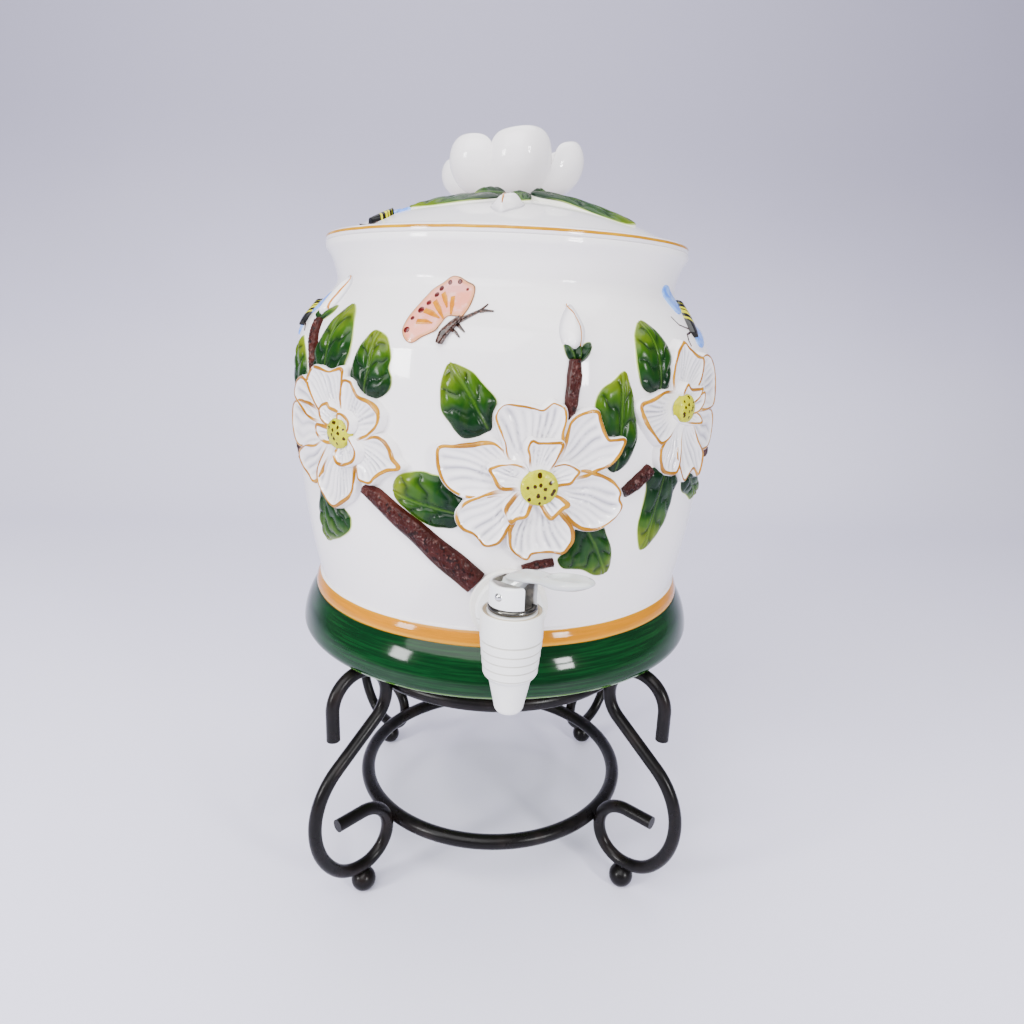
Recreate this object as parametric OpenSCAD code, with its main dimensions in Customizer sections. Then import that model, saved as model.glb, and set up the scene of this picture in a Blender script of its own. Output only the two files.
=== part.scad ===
// Ceramic drink crock with a lever tap and a loose lid, on a scrolled wire stand.
// Millimetres, +Z up, origin on the floor under the crock's axis, tap towards -Y.

/* [Stand] */
// Bar diameter of the legs
leg_rod = 8; // [7:0.5:9]
// Bar diameter of the two rings
ring_rod = 9.5; // [8:0.5:10]
// Centre-line radius of both scrolls of a leg
curl_radius = 19.6; // [18:0.2:21]
// Distance of the scroll centres from the crock's axis
curl_reach = 118.6; // [116:0.2:120]
// Gap between the floor and the leg's lowest bend
leg_lift = 14; // [13:0.5:14.5]
// Centre-line radius of the leg's upper, outer bend
hip_radius = 44; // [40:1:48]
// Centre-line radius of the leg's flank
flank_radius = 49.6; // [46:0.2:54]
// Centre-line radius of the bend that runs into the lower scroll
heel_radius = 28; // [26:1:30]
// Diameter of the ball feet
ball_d = 15.4; // [15:0.1:16]

/* [Crock] */
// Largest radius of the green base flange
base_radius = 130; // [127:0.5:132]
// Largest radius of the belly
belly_radius = 129.5; // [127:0.5:131]
// Height of the belly's widest line above the seat
belly_height = 140; // [136:1:144]
// Radius of the belly's side profile
belly_bow = 440; // [420:5:480]
// Radius of the shoulder's rounding
shoulder_bow = 30; // [26:1:34]
// Slope of the shoulder below the neck, from the vertical
shoulder_slope = 42; // [38:1:46]
// Wall thickness
wall = 7; // [6:0.5:8]
// Radius of the rim
rim_radius = 110.2; // [109:0.2:111]
// Height of the rim above the seat
rim_height = 240.5; // [238:0.5:243]

/* [Relief] */
// Height of the leaves above the wall
leaf_depth = 2.6; // [2:0.2:3]
// Height of the branches above the wall
branch_depth = 3.4; // [3:0.2:4]
// Height of a flower's outer petals above the wall
petal_depth = 3; // [2.4:0.2:3.4]

/* [Lid] */
// Height of the dome over the rim
dome_height = 30; // [27:0.5:33]
// Number of petals of the flower knob
knob_petals = 6; // [5:1:7]
// Radius of one rounded petal
petal_radius = 19; // [18:0.5:20]

/* [Tap] */
// Height of the shank's axis above the seat
shank_height = 56; // [55:0.5:57]
// Distance from the crock's axis to the tap's upright axis
tap_reach = 152; // [150:0.5:155]
// Radius of the tap's collar
collar_radius = 15.6; // [15.4:0.1:16]
// Number of grip ribs below the collar
grip_ribs = 4; // [3:1:5]
// Rise of the lever at rest
lever_rise = 8; // [8:1:12]
// How far the lever points to the right of straight ahead
lever_turn = 50; // [0:5:90]

/* [Hidden] */
$fn = 96;
seam = 0.02;

// ---- stand, derived ----
scroll_turn = 232;
lean = scroll_turn - 180;
flank_turn = 42.4;
hook_tail = 17.4;
scroll_tail = 18.5;
// The straights are a hair thinner than the bends and reach into them, so that a bar is one solid
bend_gap = 0.4;
bar_lap = 0.1;
bar_step = 0.04;
// straight run that brings the lower scroll under the upper one
leg_run = (flank_radius * (1 - cos(flank_turn)) + heel_radius * cos(flank_turn)
    + bend_gap * (1 + sin(flank_turn)) - hip_radius * (1 - cos(lean)) + curl_radius * cos(lean)) / sin(lean);
leg_drop = curl_radius * sin(lean) + leg_run * cos(lean) + hip_radius * sin(lean)
    + flank_radius * sin(flank_turn) + heel_radius * (1 - sin(flank_turn)) + bend_gap * (1 + cos(flank_turn));
low_line = leg_lift + leg_rod / 2;
lower_curl_z = low_line + curl_radius;
upper_curl_z = low_line + leg_drop;
seat_z = upper_curl_z + curl_radius + leg_rod / 2;
weld_bite = 0.2;
ring_radius = curl_reach - curl_radius - (leg_rod + ring_rod) / 2 + weld_bite;
foot_flat = 0.3;
ball_z = ball_d / 2 - foot_flat;

// ---- crock, derived ----
crock_z = seat_z + seam;
foot_lift = 1.6;
corner = 6;
flange_z = crock_z + foot_lift + corner;
band_z = crock_z + 30;
band_top_z = crock_z + 38.4;
band_radius = 121.5;
belly_z = crock_z + belly_height;
belly_x = belly_radius - belly_bow;
belly_low = asin((band_top_z + 1.5 - belly_z) / belly_bow);
belly_high = 5.5;
shoulder_x = belly_x + (belly_bow - shoulder_bow) * cos(belly_high);
shoulder_z = belly_z + (belly_bow - shoulder_bow) * sin(belly_high);
crease_radius = 103.4;
rim_z = crock_z + rim_height;
shank_z = crock_z + shank_height;
boss_y = 124.6;
boss_inner_y = 111;
boss_radius = 21;
inner_boss_radius = 17.5;
hole_radius = 10;

// ---- lid, derived ----
lid_edge = 109.6;
lid_z = rim_z + seam;
dome_edge = 100;
dome_sag = 6.1;
lid_wall = 5.5;
dome_z = lid_z + dome_height;

// ---- tap, derived ----
collar_z = shank_z + 9.5;
pin_z = collar_z + 9.5;
ear_z = pin_z + 5.1;
spout_z = shank_z - 26.4;
tip_z = shank_z - 44.6;
seat_low_z = shank_z - 20;
chamber_radius = 10.4;
bonnet_low_z = shank_z + 5;
washer_y = boss_y + 3;
flange_y = washer_y + 4;
inner_washer_y = boss_inner_y - 2.5;
nut_y = inner_washer_y - 8;
shank_end_y = nut_y - 2.5;
shank_radius = 9.5;
shank_bore = 4.75;
slot_width = 10.4;
plate_gap = 6;

// Points of an arc about [cx, cy] from angle a to angle b
function arc(cx, cy, r, a, b, n) =
    [for (i = [0:n]) [cx + r * cos(a + (b - a) * i / n), cy + r * sin(a + (b - a) * i / n)]];

// Points from p to q on an arc that stands sag off its chord, to the right of the way
function bow(p, q, sag, n) =
    let (d = q - p, c = norm(d), r = (c * c / 4 + sag * sag) / (2 * sag), half = asin(c / 2 / r),
         side = [d[1], -d[0]] / c, mid = (p + q) / 2 - side * (r - sag))
    [for (i = [0:n]) let (a = half * (2 * i / n - 1)) mid + side * r * cos(a) + d / c * r * sin(a)];

function backwards(list) = [for (i = [len(list) - 1:-1:0]) list[i]];

// ---------------------------------------------------------------- stand

// Where step i of a bar starts: [x, y, heading]
function bar_start(steps, i) = i == 0 ? [0, 0, 0] :
    let (p = bar_start(steps, i - 1), step = steps[i - 1])
    step[0] == "run" ? [p[0] + step[1] * cos(p[2]), p[1] + step[1] * sin(p[2]), p[2]] :
    let (r = (step[0] == "left" ? 1 : -1) * step[1], turned = p[2] + sign(r) * step[2])
    [p[0] + r * (sin(turned) - sin(p[2])), p[1] - r * (cos(turned) - cos(p[2])), turned];

// One bar bent like a scroll: each step is ["run", length] or ["left" or "right", radius, angle]
module bent_bar(steps, d) {
    for (i = [0:len(steps) - 1]) {
        step = steps[i];
        side = step[0] == "left" ? 1 : -1;
        place = bar_start(steps, i);
        translate([place[0], place[1], 0]) rotate([0, 0, place[2]])
            if (step[0] == "run")
                translate([-bar_lap, 0, 0]) rotate([0, 90, 0]) cylinder(h = step[1] + 2 * bar_lap, d = d - bar_step);
            else
                translate([0, side * step[1], 0]) rotate([0, 0, side > 0 ? -90 : 90 - step[2]])
                    rotate_extrude(angle = step[2]) translate([step[1], 0]) circle(d = d, $fn = 48);
    }
}

leg_steps = [
    ["run", hook_tail],
    ["left", curl_radius, scroll_turn],
    ["run", leg_run],
    ["right", hip_radius, lean],
    ["run", bend_gap],
    ["right", flank_radius, flank_turn],
    ["run", bend_gap],
    ["right", heel_radius, 90 - flank_turn],
    ["run", bend_gap],
    ["right", curl_radius, 180],
    ["run", scroll_tail]
];

// azimuth is counted from -Y, positive towards +X
module leg(azimuth) {
    color([0.1, 0.09, 0.09])
    rotate([0, 0, azimuth - 90]) rotate([90, 0, 0])
        translate([curl_reach + curl_radius, upper_curl_z - hook_tail, 0]) rotate([0, 0, 90])
            bent_bar(leg_steps, leg_rod);
}

// Ball foot with a saddle for the bar that is welded on it
module foot(azimuth) {
    color([0.08, 0.07, 0.07])
    rotate([0, 0, azimuth]) translate([0, -curl_reach, 0])
        difference() {
            translate([0, 0, ball_z]) sphere(d = ball_d);
            translate([-ball_d, -ball_d, -ball_d]) cube([2 * ball_d, 2 * ball_d, ball_d]);
            translate([0, 0, low_line]) rotate([90, 0, 0]) cylinder(h = 2 * ball_d, d = leg_rod, center = true);
        }
}

module ring(z) {
    color([0.1, 0.09, 0.09])
    translate([0, 0, z]) rotate_extrude() translate([ring_radius, 0]) circle(d = ring_rod, $fn = 48);
}

module upper_ring() { ring(upper_curl_z + 2); }
module lower_ring() { ring(lower_curl_z + 1.5); }

// ---------------------------------------------------------------- crock

// Side of the belly and shoulder, depth outside the wall's face
function side_line(depth) = concat(
    arc(belly_x, belly_z, belly_bow + depth, belly_low, belly_high, 10),
    arc(shoulder_x, shoulder_z, shoulder_bow + depth, belly_high + 8, shoulder_slope, 4)
);

function crock_outside() = concat(
    [[112, crock_z], [120.5, crock_z], [122, crock_z + foot_lift]],
    arc(base_radius - corner, flange_z, corner, -90, 0, 4),
    bow([base_radius, flange_z + 0.5], [band_radius, band_z], 1.6, 5),
    [[band_radius - 0.6, band_z + 0.4], [119.6, band_top_z - 1.2], [119, band_top_z]],
    side_line(0),
    [[crease_radius + 0.6, crock_z + 217.2], [crease_radius, crock_z + 220]],
    bow([crease_radius + 0.4, crock_z + 222], [rim_radius - 0.3, rim_z - 3.2], -0.9, 4),
    [[rim_radius, rim_z - 2], [rim_radius - 0.5, rim_z - 0.7], [rim_radius - 1.8, rim_z]]
);

function crock_inside() = concat(
    [[101.5, rim_z], [99.2, rim_z - 1.2], [97, rim_z - 8], [96.4, crock_z + 219], [97.4, crock_z + 213]],
    arc(shoulder_x, shoulder_z, shoulder_bow - wall, shoulder_slope, belly_high, 4),
    arc(belly_x, belly_z, belly_bow - wall, belly_high - 0.6, belly_low + 1.2, 8),
    [[108.5, crock_z + 24], [103, crock_z + 16]],
    [[94, crock_z + 12.5], [0, crock_z + 11]]
);

// The underside is dished between the foot ring and the axis
module crock_shell() {
    rotate_extrude()
        polygon(concat([[0, crock_z + 3.5], [107, crock_z + 3], [109.5, crock_z]],
            crock_outside(), crock_inside()));
}

// A round bar along Y from depth y1 in to depth y2 out, on the shank's axis
module shank_bar(y1, y2, r) {
    translate([0, -y1, shank_z]) rotate([90, 0, 0]) cylinder(h = y2 - y1, r = r);
}

// Flat raised seats for the tap, outside and inside, round the tap hole
module crock() {
    color([0.93, 0.92, 0.9])
    difference() {
        union() {
            difference() {
                crock_shell();
                shank_bar(boss_y, 140, boss_radius);
            }
            shank_bar(boss_inner_y, boss_y, inner_boss_radius);
            difference() {
                shank_bar(boss_y - 9, boss_y, boss_radius);
                translate([0, 0, shank_z - 40]) cylinder(h = 80, r = boss_y - 8);
            }
        }
        shank_bar(90, 140, hole_radius);
    }
}

// ---- relief ----

// Band of the wall, from just inside to depth outside
module wall_skin(depth) {
    rotate_extrude() polygon(concat(side_line(0), backwards(side_line(depth))));
}

// Draws 2D children upright on the wall: azimuth, height, and a push through the wall
module on_wall(azimuth, z) {
    rotate([0, 0, azimuth]) translate([0, 0, z]) rotate([90, 0, 0])
        translate([0, 0, 90]) linear_extrude(height = 60) children();
}

// Petal along +Y from the flower's middle
module petal(length, width) {
    side = [for (i = [0:7]) let (t = i / 8)
        [width / 2 * pow(sin(180 * pow(t, 0.72)), 0.62), length * (t + 0.04 * sin(180 * t))]];
    polygon(concat(side, [[0, length * 0.96]], [for (i = [7:-1:0]) [-side[i][0], side[i][1]]]));
}

// Leaf along +Y from its stalk, pointed at the tip
module leaf(length, width) {
    side = [for (i = [0:7]) let (t = i / 8) [width / 2 * pow(sin(180 * pow(t, 0.85)), 0.8), length * t]];
    polygon(concat(side, [[0, length]], [for (i = [7:-1:1]) [-side[i][0], side[i][1]]]));
}

// Flowers: azimuth, height above the seat, size, turn
flowers = [[5, 124, 1, 0], [-42, 140, 0.93, 14], [44, 158, 0.86, -8], [180, 134, 0.98, 5]];
petal_length = 46;
petal_width = 35;

module petal_ring(size, turn, count, first, step, length, width) {
    for (i = [first:step:count - 1]) rotate(turn + i * 360 / count) petal(length * size, width * size);
}

module flower(f) {
    for (k = [0, 1])
        intersection() {
            wall_skin(petal_depth + k * 0.9);
            on_wall(f[0], crock_z + f[1])
                petal_ring(f[2], f[3], 6, k, 2, petal_length, petal_width);
        }
    intersection() {
        wall_skin(petal_depth + 3);
        on_wall(f[0], crock_z + f[1]) petal_ring(f[2], f[3] + 30, 5, 0, 1, 26, 21);
    }
    intersection() {
        wall_skin(petal_depth + 5.2);
        on_wall(f[0], crock_z + f[1]) circle(r = 9.5 * f[2], $fn = 32);
    }
}

// Buds: azimuth, height of the foot, direction
buds = [[13, 186, 3], [-58.3, 201, 4], [179.6, 204, 4]];
bud_length = 24;
bud_width = 13;
sepal_length = 9;

module relief_flowers() {
    color([0.95, 0.93, 0.9]) {
        for (f = flowers) flower(f);
        intersection() {
            wall_skin(petal_depth + 1);
            for (b = buds) on_wall(b[0], crock_z + b[1]) rotate(b[2]) leaf(bud_length, bud_width);
        }
    }
}

// What the petals of the flower f cover, so that leaves and branches stop at them
module flower_shadow(f) {
    on_wall(f[0], crock_z + f[1]) petal_ring(f[2], f[3], 6, 0, 1, petal_length, petal_width);
}

// Leaves of each flower: azimuth and height of the stalk end, direction, length, width
leaves = [
    [[-5, 146, 28, 37, 24], [-10.5, 110, 74, 38, 22], [22, 142, -12, 42, 25], [12, 92, -128, 38, 25]],
    [[-49, 168, -10, 40, 24], [-37, 160, -32, 40, 23], [-65, 154, 0, 34, 20], [-49, 112, -165, 36, 22]],
    [[37.5, 170, 10, 34, 22], [41, 120, 160, 42, 22], [54, 116, -150, 30, 17]],
    [[188, 150, -25, 42, 24], [172, 150, 30, 40, 24], [180, 98, 168, 36, 22]]
];

module relief_leaves() {
    color([0.18, 0.42, 0.12])
    for (i = [0:len(flowers) - 1])
        difference() {
            intersection() {
                wall_skin(leaf_depth);
                for (l = leaves[i])
                    on_wall(l[0], crock_z + l[1]) rotate(l[2]) leaf(l[3], l[4]);
            }
            flower_shadow(flowers[i]);
        }
    intersection() {
        wall_skin(leaf_depth);
        for (b = buds) on_wall(b[0], crock_z + b[1] - seam) rotate(180 + b[2]) leaf(sepal_length, 0.8 * bud_width);
    }
}

// A branch is a bar with a cut end: azimuth and height of its middle, direction, length, width
branches = [
    [[-20.9, 84.3, 55, 66, 12], [13, 164.8, 0, 24, 8.5], [30, 123, -62, 20, 8], [6.5, 80, -80, 16, 6]],
    [[-57.5, 178.8, 2, 26, 7], [-63, 128, 20, 18, 7]],
    [[61, 130, -30, 16, 7]],
    [[180, 180.8, 4, 28, 8]]
];

module relief_branches() {
    color([0.32, 0.12, 0.09])
    for (i = [0:len(flowers) - 1])
        difference() {
            intersection() {
                wall_skin(branch_depth);
                for (b = branches[i])
                    on_wall(b[0], crock_z + b[1]) rotate(b[2]) square([b[4], b[3]], center = true);
            }
            flower_shadow(flowers[i]);
        }
}

// ---------------------------------------------------------------- lid

function dome_line(depth) = bow([dome_edge, lid_z + 5 + depth], [0, dome_z + depth], dome_sag, 10);

module lid() {
    color([0.94, 0.93, 0.91])
    rotate_extrude()
        polygon(concat(
            [[lid_edge - 1.2, lid_z], [lid_edge, lid_z + 1.2], [lid_edge, lid_z + 3],
             [lid_edge - 0.8, lid_z + 4], [lid_edge - 3, lid_z + 4.4]],
            dome_line(0),
            backwards(bow([89, lid_z + 2.6], [0, dome_z - lid_wall], 4.6, 8)),
            [[89, lid_z - 10], [91.5, lid_z - 12], [93.5, lid_z - 12], [94.5, lid_z - 10], [94.5, lid_z]]
        ));
}

// Rounded petal: the lens that two balls share
module lens(radius, thick) {
    ball = (radius * radius + thick * thick / 4) / thick;
    intersection() {
        translate([0, ball - thick / 2, 0]) sphere(r = ball);
        translate([0, thick / 2 - ball, 0]) sphere(r = ball);
    }
}

// Open flower: petals lean out round a cup
knob_turn = 8;
petal_thick = 13;
petal_reach = 28;
petal_lean = 34;

knob_seat = [for (p = backwards(dome_line(0))) if (p[0] < 22) p];

module lid_knob() {
    color([0.95, 0.94, 0.92])
    union() {
        for (i = [0:knob_petals - 1])
            rotate([0, 0, knob_turn + i * 360 / knob_petals])
                translate([0, -petal_reach, dome_z + 18.5])
                    rotate([petal_lean, 0, 0]) lens(petal_radius, petal_thick);
        rotate_extrude() polygon(concat(knob_seat, [[19, dome_z + 2], [26, dome_z + 8.5], [29, dome_z + 14],
            [12, dome_z + 11], [7, dome_z + 16], [0, dome_z + 17]]));
    }
}

// Leaves of the lid: place of the stalk, heading, length, width
lid_leaf_places = [[-4, -47, 92.2, 53, 17], [10, -46, -104.2, 61, 17], [11, 19, -30, 46, 18], [-11, 19, 30, 46, 18]];
lid_leaf_depth = 3.4;

module lid_leaves() {
    color([0.18, 0.42, 0.12])
    difference() {
        intersection() {
            rotate_extrude() polygon(concat(dome_line(0), backwards(dome_line(lid_leaf_depth))));
            for (l = lid_leaf_places)
                translate([l[0], l[1], lid_z]) rotate([0, 0, l[2]]) linear_extrude(height = 60) leaf(l[3], l[4]);
        }
        cylinder(h = 600, r = 26);
    }
}

// ---------------------------------------------------------------- tap

module at_tap() {
    translate([0, -tap_reach, 0]) children();
}

// Frame of the lever's pin: +X along the lever, +Y along the pin
module at_pin() {
    at_tap() translate([0, 0, pin_z]) rotate([0, 0, lever_turn - 90]) children();
}

rib_pitch = 18 / grip_ribs;

function rib_outline() = [for (i = [0:grip_ribs - 1], k = [0:2])
    [[collar_radius - 0.3 - 1.9 * i / grip_ribs, collar_z - 15 - i * rib_pitch],
     [collar_radius - 0.5 - 1.9 * i / grip_ribs, collar_z - 15 - i * rib_pitch - rib_pitch * 0.86],
     [collar_radius - 1.0 - 1.9 * i / grip_ribs, collar_z - 15 - i * rib_pitch - rib_pitch * 0.93]][k]];

module tap_outside() {
    rotate_extrude()
        polygon(concat(
            [[0, collar_z], [collar_radius - 0.5, collar_z], [collar_radius, collar_z - 0.5],
             [collar_radius - 0.1, collar_z - 13.8], [collar_radius - 0.7, collar_z - 14.2],
             [collar_radius - 0.7, collar_z - 14.7]],
            rib_outline(),
            [[13.2, collar_z - 33.4], [11.3, collar_z - 35.6], [10.7, spout_z],
             [7.3, tip_z + 1.8], [6.4, tip_z + 0.3], [5.8, tip_z], [0, tip_z]]
        ));
}

// Spout bore, valve seat, chamber, pocket of the bonnet's flange and of the retainer
module tap_inside() {
    rotate_extrude()
        polygon([[0, tip_z - 1], [5, tip_z - 1], [5, tip_z + 0.5], [4.7, tip_z + 2], [4.7, seat_low_z],
            [chamber_radius, seat_low_z + 5.7], [chamber_radius, bonnet_low_z],
            [13.6, bonnet_low_z], [13.6, collar_z - 2.3], [14.6, collar_z - 2.3],
            [14.6, collar_z + 1], [0, collar_z + 1]]);
}

module tap_body() {
    color([0.95, 0.95, 0.93])
    difference() {
        union() {
            at_tap() tap_outside();
            translate([0, 0, shank_z]) rotate([90, 0, 0]) rotate_extrude()
                polygon([[0, shank_end_y], [shank_radius - 1, shank_end_y], [shank_radius, shank_end_y + 1],
                    [shank_radius, washer_y], [16.8, washer_y], [17.5, washer_y + 0.7],
                    [17.5, flange_y - 1.2], [16.3, flange_y], [shank_radius, flange_y + 0.6],
                    [shank_radius, tap_reach - 4], [0, tap_reach - 4]]);
        }
        at_tap() tap_inside();
        shank_bar(shank_end_y - 1, tap_reach - 4, shank_bore);
    }
}

module washer(y1, y2, r, hole) {
    translate([0, 0, shank_z]) rotate([90, 0, 0]) rotate_extrude()
        polygon([[hole, y1], [r - 0.6, y1], [r, y1 + 0.6], [r, y2 - 0.9], [r - 0.9, y2], [hole, y2]]);
}

module tap_outer_washer() { color([0.86, 0.84, 0.78]) washer(boss_y, washer_y, 20.5, 9.7); }
module tap_inner_washer() { color([0.3, 0.3, 0.3]) washer(inner_washer_y, boss_inner_y, 15.5, 9.7); }

module tap_nut() {
    color([0.94, 0.94, 0.92])
    difference() {
        shank_bar(nut_y, inner_washer_y, 15.5, $fn = 6);
        shank_bar(nut_y - 1, inner_washer_y + 1, shank_radius);
    }
}

module tap_retainer() {
    color([0.9, 0.85, 0.72])
    at_tap() rotate_extrude()
        polygon([[12.6, collar_z - 2.2], [14.55, collar_z - 2.2], [14.55, collar_z - 0.3],
            [13.6, collar_z - 0.1], [12.6, collar_z - 0.8]]);
}

// Turret with two ears: it turns in the collar and carries the pin
module tap_bonnet() {
    color([0.97, 0.97, 0.97])
    difference() {
        at_tap() rotate_extrude()
            polygon([[0, bonnet_low_z + 0.1], [13.4, bonnet_low_z + 0.1], [13.4, collar_z - 2.5],
                [12.5, collar_z - 2.3], [12.5, collar_z + 0.2], [9.3, collar_z + 0.2], [9.3, collar_z + 3.4],
                [11.8, collar_z + 3.6], [11.8, ear_z - 0.8], [11, ear_z], [0, ear_z]]);
        at_tap() translate([0, 0, bonnet_low_z - 1]) cylinder(h = 30, r = 2.06);
        at_tap() translate([0, 0, bonnet_low_z - 1]) cylinder(h = 2.6, r = 5.8);
        at_pin() translate([-8.8, -slot_width / 2, -8]) cube([30, slot_width, 30]);
        at_pin() rotate([90, 0, 0]) cylinder(h = 40, r = 1.52, center = true);
    }
}

// Steel wire ring in the turret's neck
module tap_ring() {
    color([0.5, 0.5, 0.48])
    at_tap() translate([0, 0, collar_z + 1.8]) rotate_extrude() translate([10.85, 0]) circle(r = 1.5, $fn = 48);
}

module tap_pin() {
    color([0.8, 0.8, 0.82])
    at_pin() rotate([90, 0, 0]) {
        translate([0, 0, -11.2]) cylinder(h = 23, r = 1.5);
        translate([0, 0, 11.75]) intersection() {
            translate([0, 0, -1]) sphere(r = 2.3);
            cylinder(h = 4, r = 4);
        }
    }
}

// Rounded oval in the plan of the paddle
module paddle_plan(d, span) {
    for (x = [-span / 2, span / 2]) translate([x, 0]) circle(d = d);
    square([span, d], center = true);
}

// Hub and web in the turret's slot, plate over the ears, dished paddle, and the tail under the hook
module tap_lever() {
    hub = 3.4;
    web = slot_width - 0.8;
    color([0.92, 0.93, 0.95, 0.7])
    at_pin() difference() {
        union() {
            rotate([0, -lever_rise, 0]) {
                rotate([90, 0, 0]) cylinder(h = web, r = hub, center = true);
                translate([0, web / 2, 0]) rotate([90, 0, 0]) linear_extrude(height = web)
                    polygon([[-3, -1], [-3.1, plate_gap - 1.4], [-1.5, plate_gap + 2.8], [10, plate_gap + 2.8],
                        [10, plate_gap], [7.5, plate_gap - 2.4], [3, -1]]);
                translate([0, 0, plate_gap]) linear_extrude(height = 2.8)
                    polygon([[0.5, -5], [2, -6.5], [12, -6.5], [20.2, -5], [20.2, 5], [12, 6.5], [2, 6.5], [0.5, 5]]);
                translate([31.2, 0, plate_gap]) difference() {
                    linear_extrude(height = 4.4) paddle_plan(16, 11);
                    translate([0, 0, 2]) linear_extrude(height = 4) paddle_plan(11.4, 10);
                }
            }
            translate([-6.6, -web / 2, -1.6]) cube([5, web, 1.8]);
        }
        rotate([90, 0, 0]) cylinder(h = 40, r = 1.56, center = true);
    }
}

// Valve rod with an arm that hooks over the lever's tail
module tap_stem() {
    color([0.9, 0.9, 0.88])
    union() {
        at_tap() translate([0, 0, seat_low_z + 2]) cylinder(h = pin_z - 6.2 - seat_low_z - 2, r = 2);
        at_pin() translate([-8.2, -3, -7.8]) cube([11.4, 6, 1.6]);
        at_pin() translate([-8.2, -3, -7.8]) cube([1.2, 6, 10.2]);
        at_pin() translate([-8.2, -3, 0.6]) cube([3.6, 6, 1.8]);
    }
}

module tap_seat() {
    color([0.2, 0.2, 0.2])
    at_tap() difference() {
        rotate_extrude() polygon([[0, seat_low_z - 0.2], [4.35, seat_low_z - 0.2], [8.05, seat_low_z + 3.5],
            [8.05, seat_low_z + 6], [0, seat_low_z + 6]]);
        translate([0, 0, seat_low_z + 2]) cylinder(h = 10, r = 2);
    }
}

spring_turns = 6;
spring_radius = 4.5;
spring_wire = 1;
spring_low_z = seat_low_z + 6.1;
spring_high_z = bonnet_low_z + 1.5;

// Compression spring: one tube of eight rings a turn and six sides
module tap_spring() {
    rings = spring_turns * 8;
    sides = 6;
    climb = spring_high_z - spring_low_z - spring_wire;
    points = [for (i = [0:rings], k = [0:sides - 1])
        let (a = 360 * i / 8, b = 360 * k / sides, r = spring_radius + spring_wire / 2 * cos(b))
        [r * cos(a), r * sin(a), spring_low_z + spring_wire / 2 + climb * i / rings + spring_wire / 2 * sin(b)]];
    faces = concat(
        [[for (k = [0:sides - 1]) k]],
        [[for (k = [sides - 1:-1:0]) rings * sides + k]],
        [for (i = [0:rings - 1], k = [0:sides - 1]) let (a = i * sides + k, b = i * sides + (k + 1) % sides)
            [a, a + sides, b]],
        [for (i = [0:rings - 1], k = [0:sides - 1]) let (a = i * sides + k, b = i * sides + (k + 1) % sides)
            [b, a + sides, b + sides]]
    );
    color([0.7, 0.7, 0.7]) at_tap() polyhedron(points, faces);
}

upper_ring();
lower_ring();
leg(-45);  // leg_front_left
leg(45);  // leg_front_right
leg(-135);  // leg_back_left
leg(135);  // leg_back_right
foot(-45);  // foot_front_left
foot(45);  // foot_front_right
foot(-135);  // foot_back_left
foot(135);  // foot_back_right
crock();
relief_flowers();
relief_leaves();
relief_branches();
lid();
lid_knob();
lid_leaves();
tap_body();
tap_outer_washer();
tap_inner_washer();
tap_nut();
tap_retainer();
tap_bonnet();
tap_ring();
tap_pin();
tap_lever();
tap_stem();
tap_seat();
tap_spring();
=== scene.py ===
import bpy
import math
import numpy as np
from mathutils import Matrix


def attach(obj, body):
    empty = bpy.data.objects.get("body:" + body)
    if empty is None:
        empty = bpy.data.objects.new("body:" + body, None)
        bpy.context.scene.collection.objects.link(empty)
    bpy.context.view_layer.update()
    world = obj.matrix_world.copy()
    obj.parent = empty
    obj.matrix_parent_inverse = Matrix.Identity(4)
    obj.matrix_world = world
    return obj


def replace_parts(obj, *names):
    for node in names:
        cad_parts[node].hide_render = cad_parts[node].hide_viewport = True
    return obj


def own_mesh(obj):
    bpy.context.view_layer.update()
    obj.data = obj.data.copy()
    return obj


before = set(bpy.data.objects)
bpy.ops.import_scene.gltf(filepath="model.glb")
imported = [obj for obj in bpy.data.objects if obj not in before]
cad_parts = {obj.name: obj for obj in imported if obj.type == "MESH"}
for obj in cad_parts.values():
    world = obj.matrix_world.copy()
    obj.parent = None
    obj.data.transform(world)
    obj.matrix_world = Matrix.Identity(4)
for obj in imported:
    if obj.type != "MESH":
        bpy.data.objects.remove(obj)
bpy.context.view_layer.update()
mm = 0.001  # places are in millimetres, apart from the studio's
print("frame loaded")


# shader maths
class Link:  # a socket, with the operators that the materials use
    def __init__(self, paint, socket):
        self.paint, self.socket = paint, socket

    def maths(self, operation, *others):
        return self.paint.node("ShaderNodeMath", {"operation": operation}, dict(enumerate((self,) + others)))

    def __add__(self, other):
        return self.maths("ADD", other)

    __radd__ = __add__

    def __sub__(self, other):
        return self.maths("SUBTRACT", other)

    def __rsub__(self, other):
        return self.maths("MULTIPLY_ADD", -1.0, other)

    def __mul__(self, other):
        return self.maths("MULTIPLY", other)

    def __truediv__(self, other):
        return self.maths("DIVIDE", other)

    def above(self, low, high):  # 0 below low, 1 above high
        return self.paint.node("ShaderNodeMapRange", {"interpolation_type": "SMOOTHSTEP"},
                               {"Value": self, "From Min": low, "From Max": high})

    def below(self, low, high):
        return 1 - self.above(low, high)


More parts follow.
